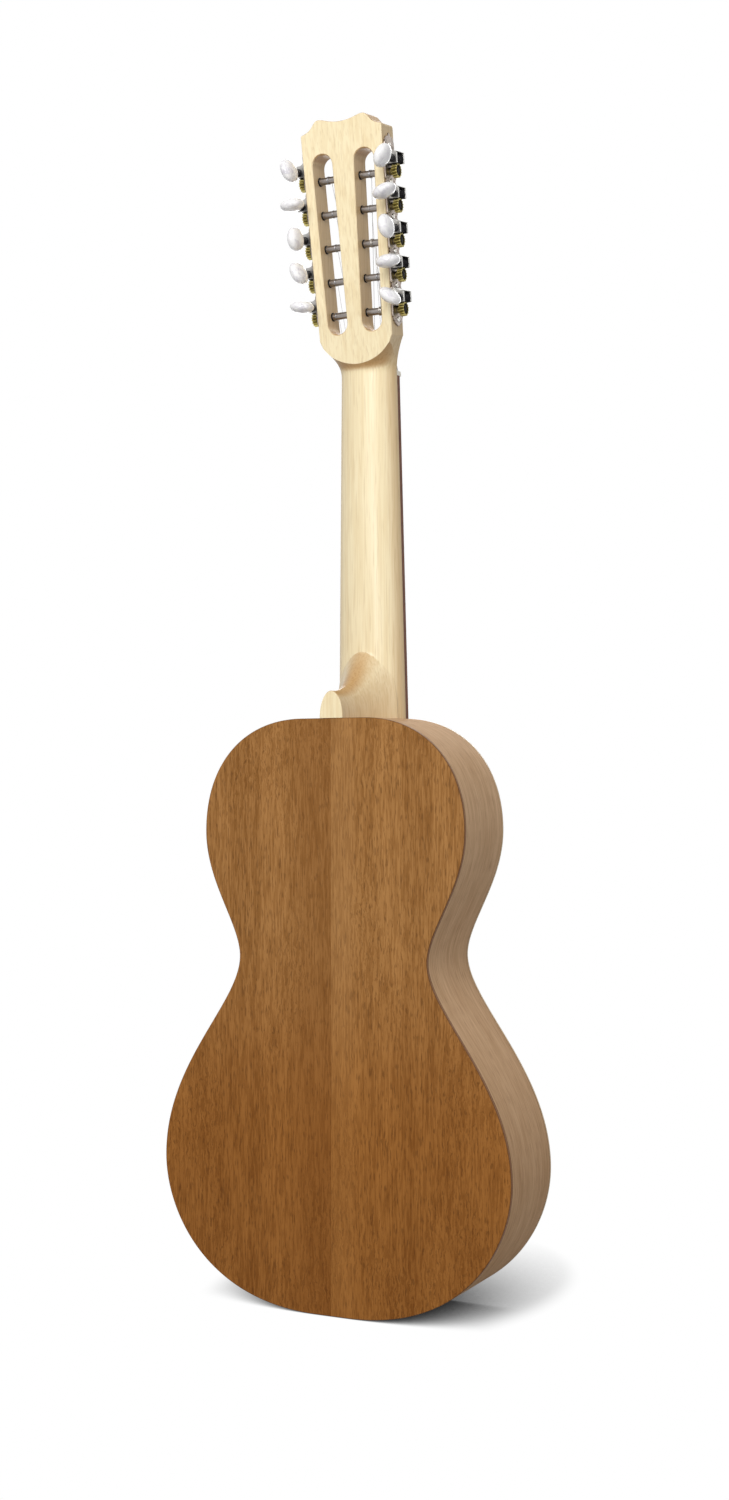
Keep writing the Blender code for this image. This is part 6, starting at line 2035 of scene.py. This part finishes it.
@dataclass
class Studio:
    """The pale floor, the soft light and the photograph's camera."""

    place: Vector = field(default_factory=lambda: Vector((-0.68792, 1.33855, 0.41661)))
    yaw: float = math.radians(26.782)
    pitch: float = math.radians(0.345)
    roll: float = math.radians(-0.526)
    focal_pixels: float = 1951.3
    photo_height: float = 1500.0
    sensor: float = 36.0
    floor_size: float = 60.0
    floor_drop: float = 0.0004
    shade_reach: float = 0.25
    light_from: Colour = (0.06, 0.84, 0.54)

    def camera(self) -> None:
        """Stand the camera where the photograph was taken."""
        ahead = Vector((math.sin(self.yaw) * math.cos(self.pitch),
                        -math.cos(self.yaw) * math.cos(self.pitch), math.sin(self.pitch)))
        level = Vector((-math.cos(self.yaw), -math.sin(self.yaw), 0.0))
        above = level.cross(ahead)
        right = math.cos(self.roll) * level + math.sin(self.roll) * above
        up = -math.sin(self.roll) * level + math.cos(self.roll) * above
        lens = bpy.data.cameras.new("camera")
        lens.lens = self.focal_pixels / self.photo_height * self.sensor
        lens.sensor_width = self.sensor
        lens.clip_end = 200.0
        made = bpy.data.objects.new("camera", lens)
        turn = Matrix((right, up, -ahead)).transposed()
        made.matrix_world = Matrix.Translation(self.place) @ turn.to_4x4()
        bpy.context.scene.collection.objects.link(made)
        bpy.context.scene.camera = made

    def white_where_seen(self, sheet: Sheet, lit: float) -> bpy.types.NodeSocket:
        """A strength of 1 for what the camera or a mirror sees, and a plain level elsewhere.

        Args:
            sheet: the tree.
            lit: the level that lights the object.

        Returns:
            The socket of the strength.
        """
        path = sheet.add("LightPath")
        seen = sheet.math("MAXIMUM", path.outputs["Is Camera Ray"],
                          sheet.math("MAXIMUM", path.outputs["Is Glossy Ray"],
                                     path.outputs["Is Transmission Ray"]))
        return sheet.math("MULTIPLY_ADD", seen, 1.0 - lit, lit)

    def world(self) -> None:
        """A white room that lights the object evenly."""
        world = bpy.data.worlds.new("white_room")
        world.use_nodes = True
        sheet = Sheet(world.node_tree)
        shine = world.node_tree.nodes["Background"]
        shine.inputs["Color"].default_value = (1.0, 1.0, 1.0, 1.0)
        sheet.tree.links.new(self.white_where_seen(sheet, 0.36), shine.inputs["Strength"])
        bpy.context.scene.world = world

    def floor(self) -> None:
        """A wide pale floor: plain white to the camera and to mirrors, darker where the object shades it."""
        bpy.ops.object.select_all(action="DESELECT")
        bpy.ops.mesh.primitive_plane_add(size=self.floor_size, location=(0.0, 0.0, -self.floor_drop))
        plane = bpy.context.active_object
        plane.name = "studio_floor"
        made = bpy.data.materials.new("studio_floor")
        made.use_nodes = True
        shader = made.node_tree.nodes["Principled BSDF"]
        shader.inputs["Roughness"].default_value = 0.9
        shader.inputs["Specular IOR Level"].default_value = 0.0
        shader.inputs["Emission Color"].default_value = (1.0, 1.0, 1.0, 1.0)
        sheet = Sheet(made.node_tree)
        sky = sheet.add("CombineXYZ", dict(enumerate(self.light_from))).outputs[0]
        shade_near = sheet.add("AmbientOcclusion", {"Distance": self.shade_reach, "Normal": sky},
                               samples=32).outputs["AO"]
        place = sheet.add("TexCoord").outputs["Object"]
        reach = sheet.add("Mapping", {"Vector": place, "Location": (0.0, 0.50, 0.0), "Scale": (9.6, 7.5, 1.0)})
        far = sheet.add("VectorMath", {0: reach.outputs[0]}, operation="LENGTH").outputs["Value"]
        # Painted shadow: ambient occlusion towards the light, faded with distance, darkens the floor's emission to the
        # camera.
        open_sky = sheet.math("MAXIMUM", sheet.ramp(shade_near, 0.28, 0.88), sheet.ramp(far, 0.85, 1.40))
        seen = self.white_where_seen(sheet, 0.0)
        sheet.tree.links.new(sheet.math("MULTIPLY", seen, open_sky), shader.inputs["Emission Strength"])
        sheet.tree.links.new(sheet.mix(seen, (0.40, 0.40, 0.40, 1.0), (0.0, 0.0, 0.0, 1.0)),
                             shader.inputs["Base Color"])
        plane.data.materials.append(made)

    def lamp(self, name: str, place: Colour, aim: Colour, size: float, watts: float, tall: float = 0.0) -> None:
        """Hang one soft lamp.

        Args:
            name: the lamp's name.
            place: where it hangs.
            aim: what it points at.
            size: its side.
            watts: its power.
            tall: its height, where it isn't square.
        """
        light = bpy.data.lights.new(name, "AREA")
        light.size = size
        light.energy = watts
        if tall:
            light.shape, light.size_y = "RECTANGLE", tall
        made = bpy.data.objects.new(name, light)
        made.location = place
        made.rotation_euler = (Vector(aim) - Vector(place)).to_track_quat("-Z", "Y").to_euler()
        bpy.context.scene.collection.objects.link(made)

    def build(self) -> None:
        """Set up the whole studio."""
        self.camera()
        self.world()
        self.floor()
        self.lamp("key", (-0.20, 1.5, 1.42), (0.0, 0.0, 0.5), 1.0, 18.5)
        self.lamp("strip", (-0.41, 1.55, 0.85), (0.0, 0.0, 0.62), 0.26, 6.5, tall=1.3)
        self.lamp("fill", (-2.0, 0.6, 1.10), (0.0, 0.0, 0.45), 1.4, 6.2)
        self.lamp("front", (0.5, -2.0, 1.2), (0.0, 0.0, 0.4), 1.6, 24.0)
        LOG.info("studio ready")


def dress_inside(wardrobe: Wardrobe) -> None:
    """Finish the pieces inside the body, which the part's own solids already show rightly.

    Args:
        wardrobe: the materials.
    """
    for name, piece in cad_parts.items():
        if "brace" in name or "lining" in name or "block" in name or "strip" in name:
            wardrobe.dress(piece, "inner", body=None)
    wardrobe.dress(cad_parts["tail_graft"], "dark", body=None)


def main() -> None:
    """Build, dress and light the instrument, sub-assembly by sub-assembly."""
    logging.basicConfig(level=logging.INFO, format="%(name)s %(message)s")
    bpy.context.scene.view_settings.view_transform = "Standard"
    Studio().build()
    wardrobe = Wardrobe()
    strings = plan_strings()
    SoundBox(wardrobe).build()
    NeckAndHead(wardrobe).build()
    Fingerboard(wardrobe).build(strings)
    Bridge(wardrobe).build(strings)
    Strings(wardrobe, strings).build()
    MachineHeads(wardrobe).build()
    dress_inside(wardrobe)


if __name__ == "__main__":
    main()
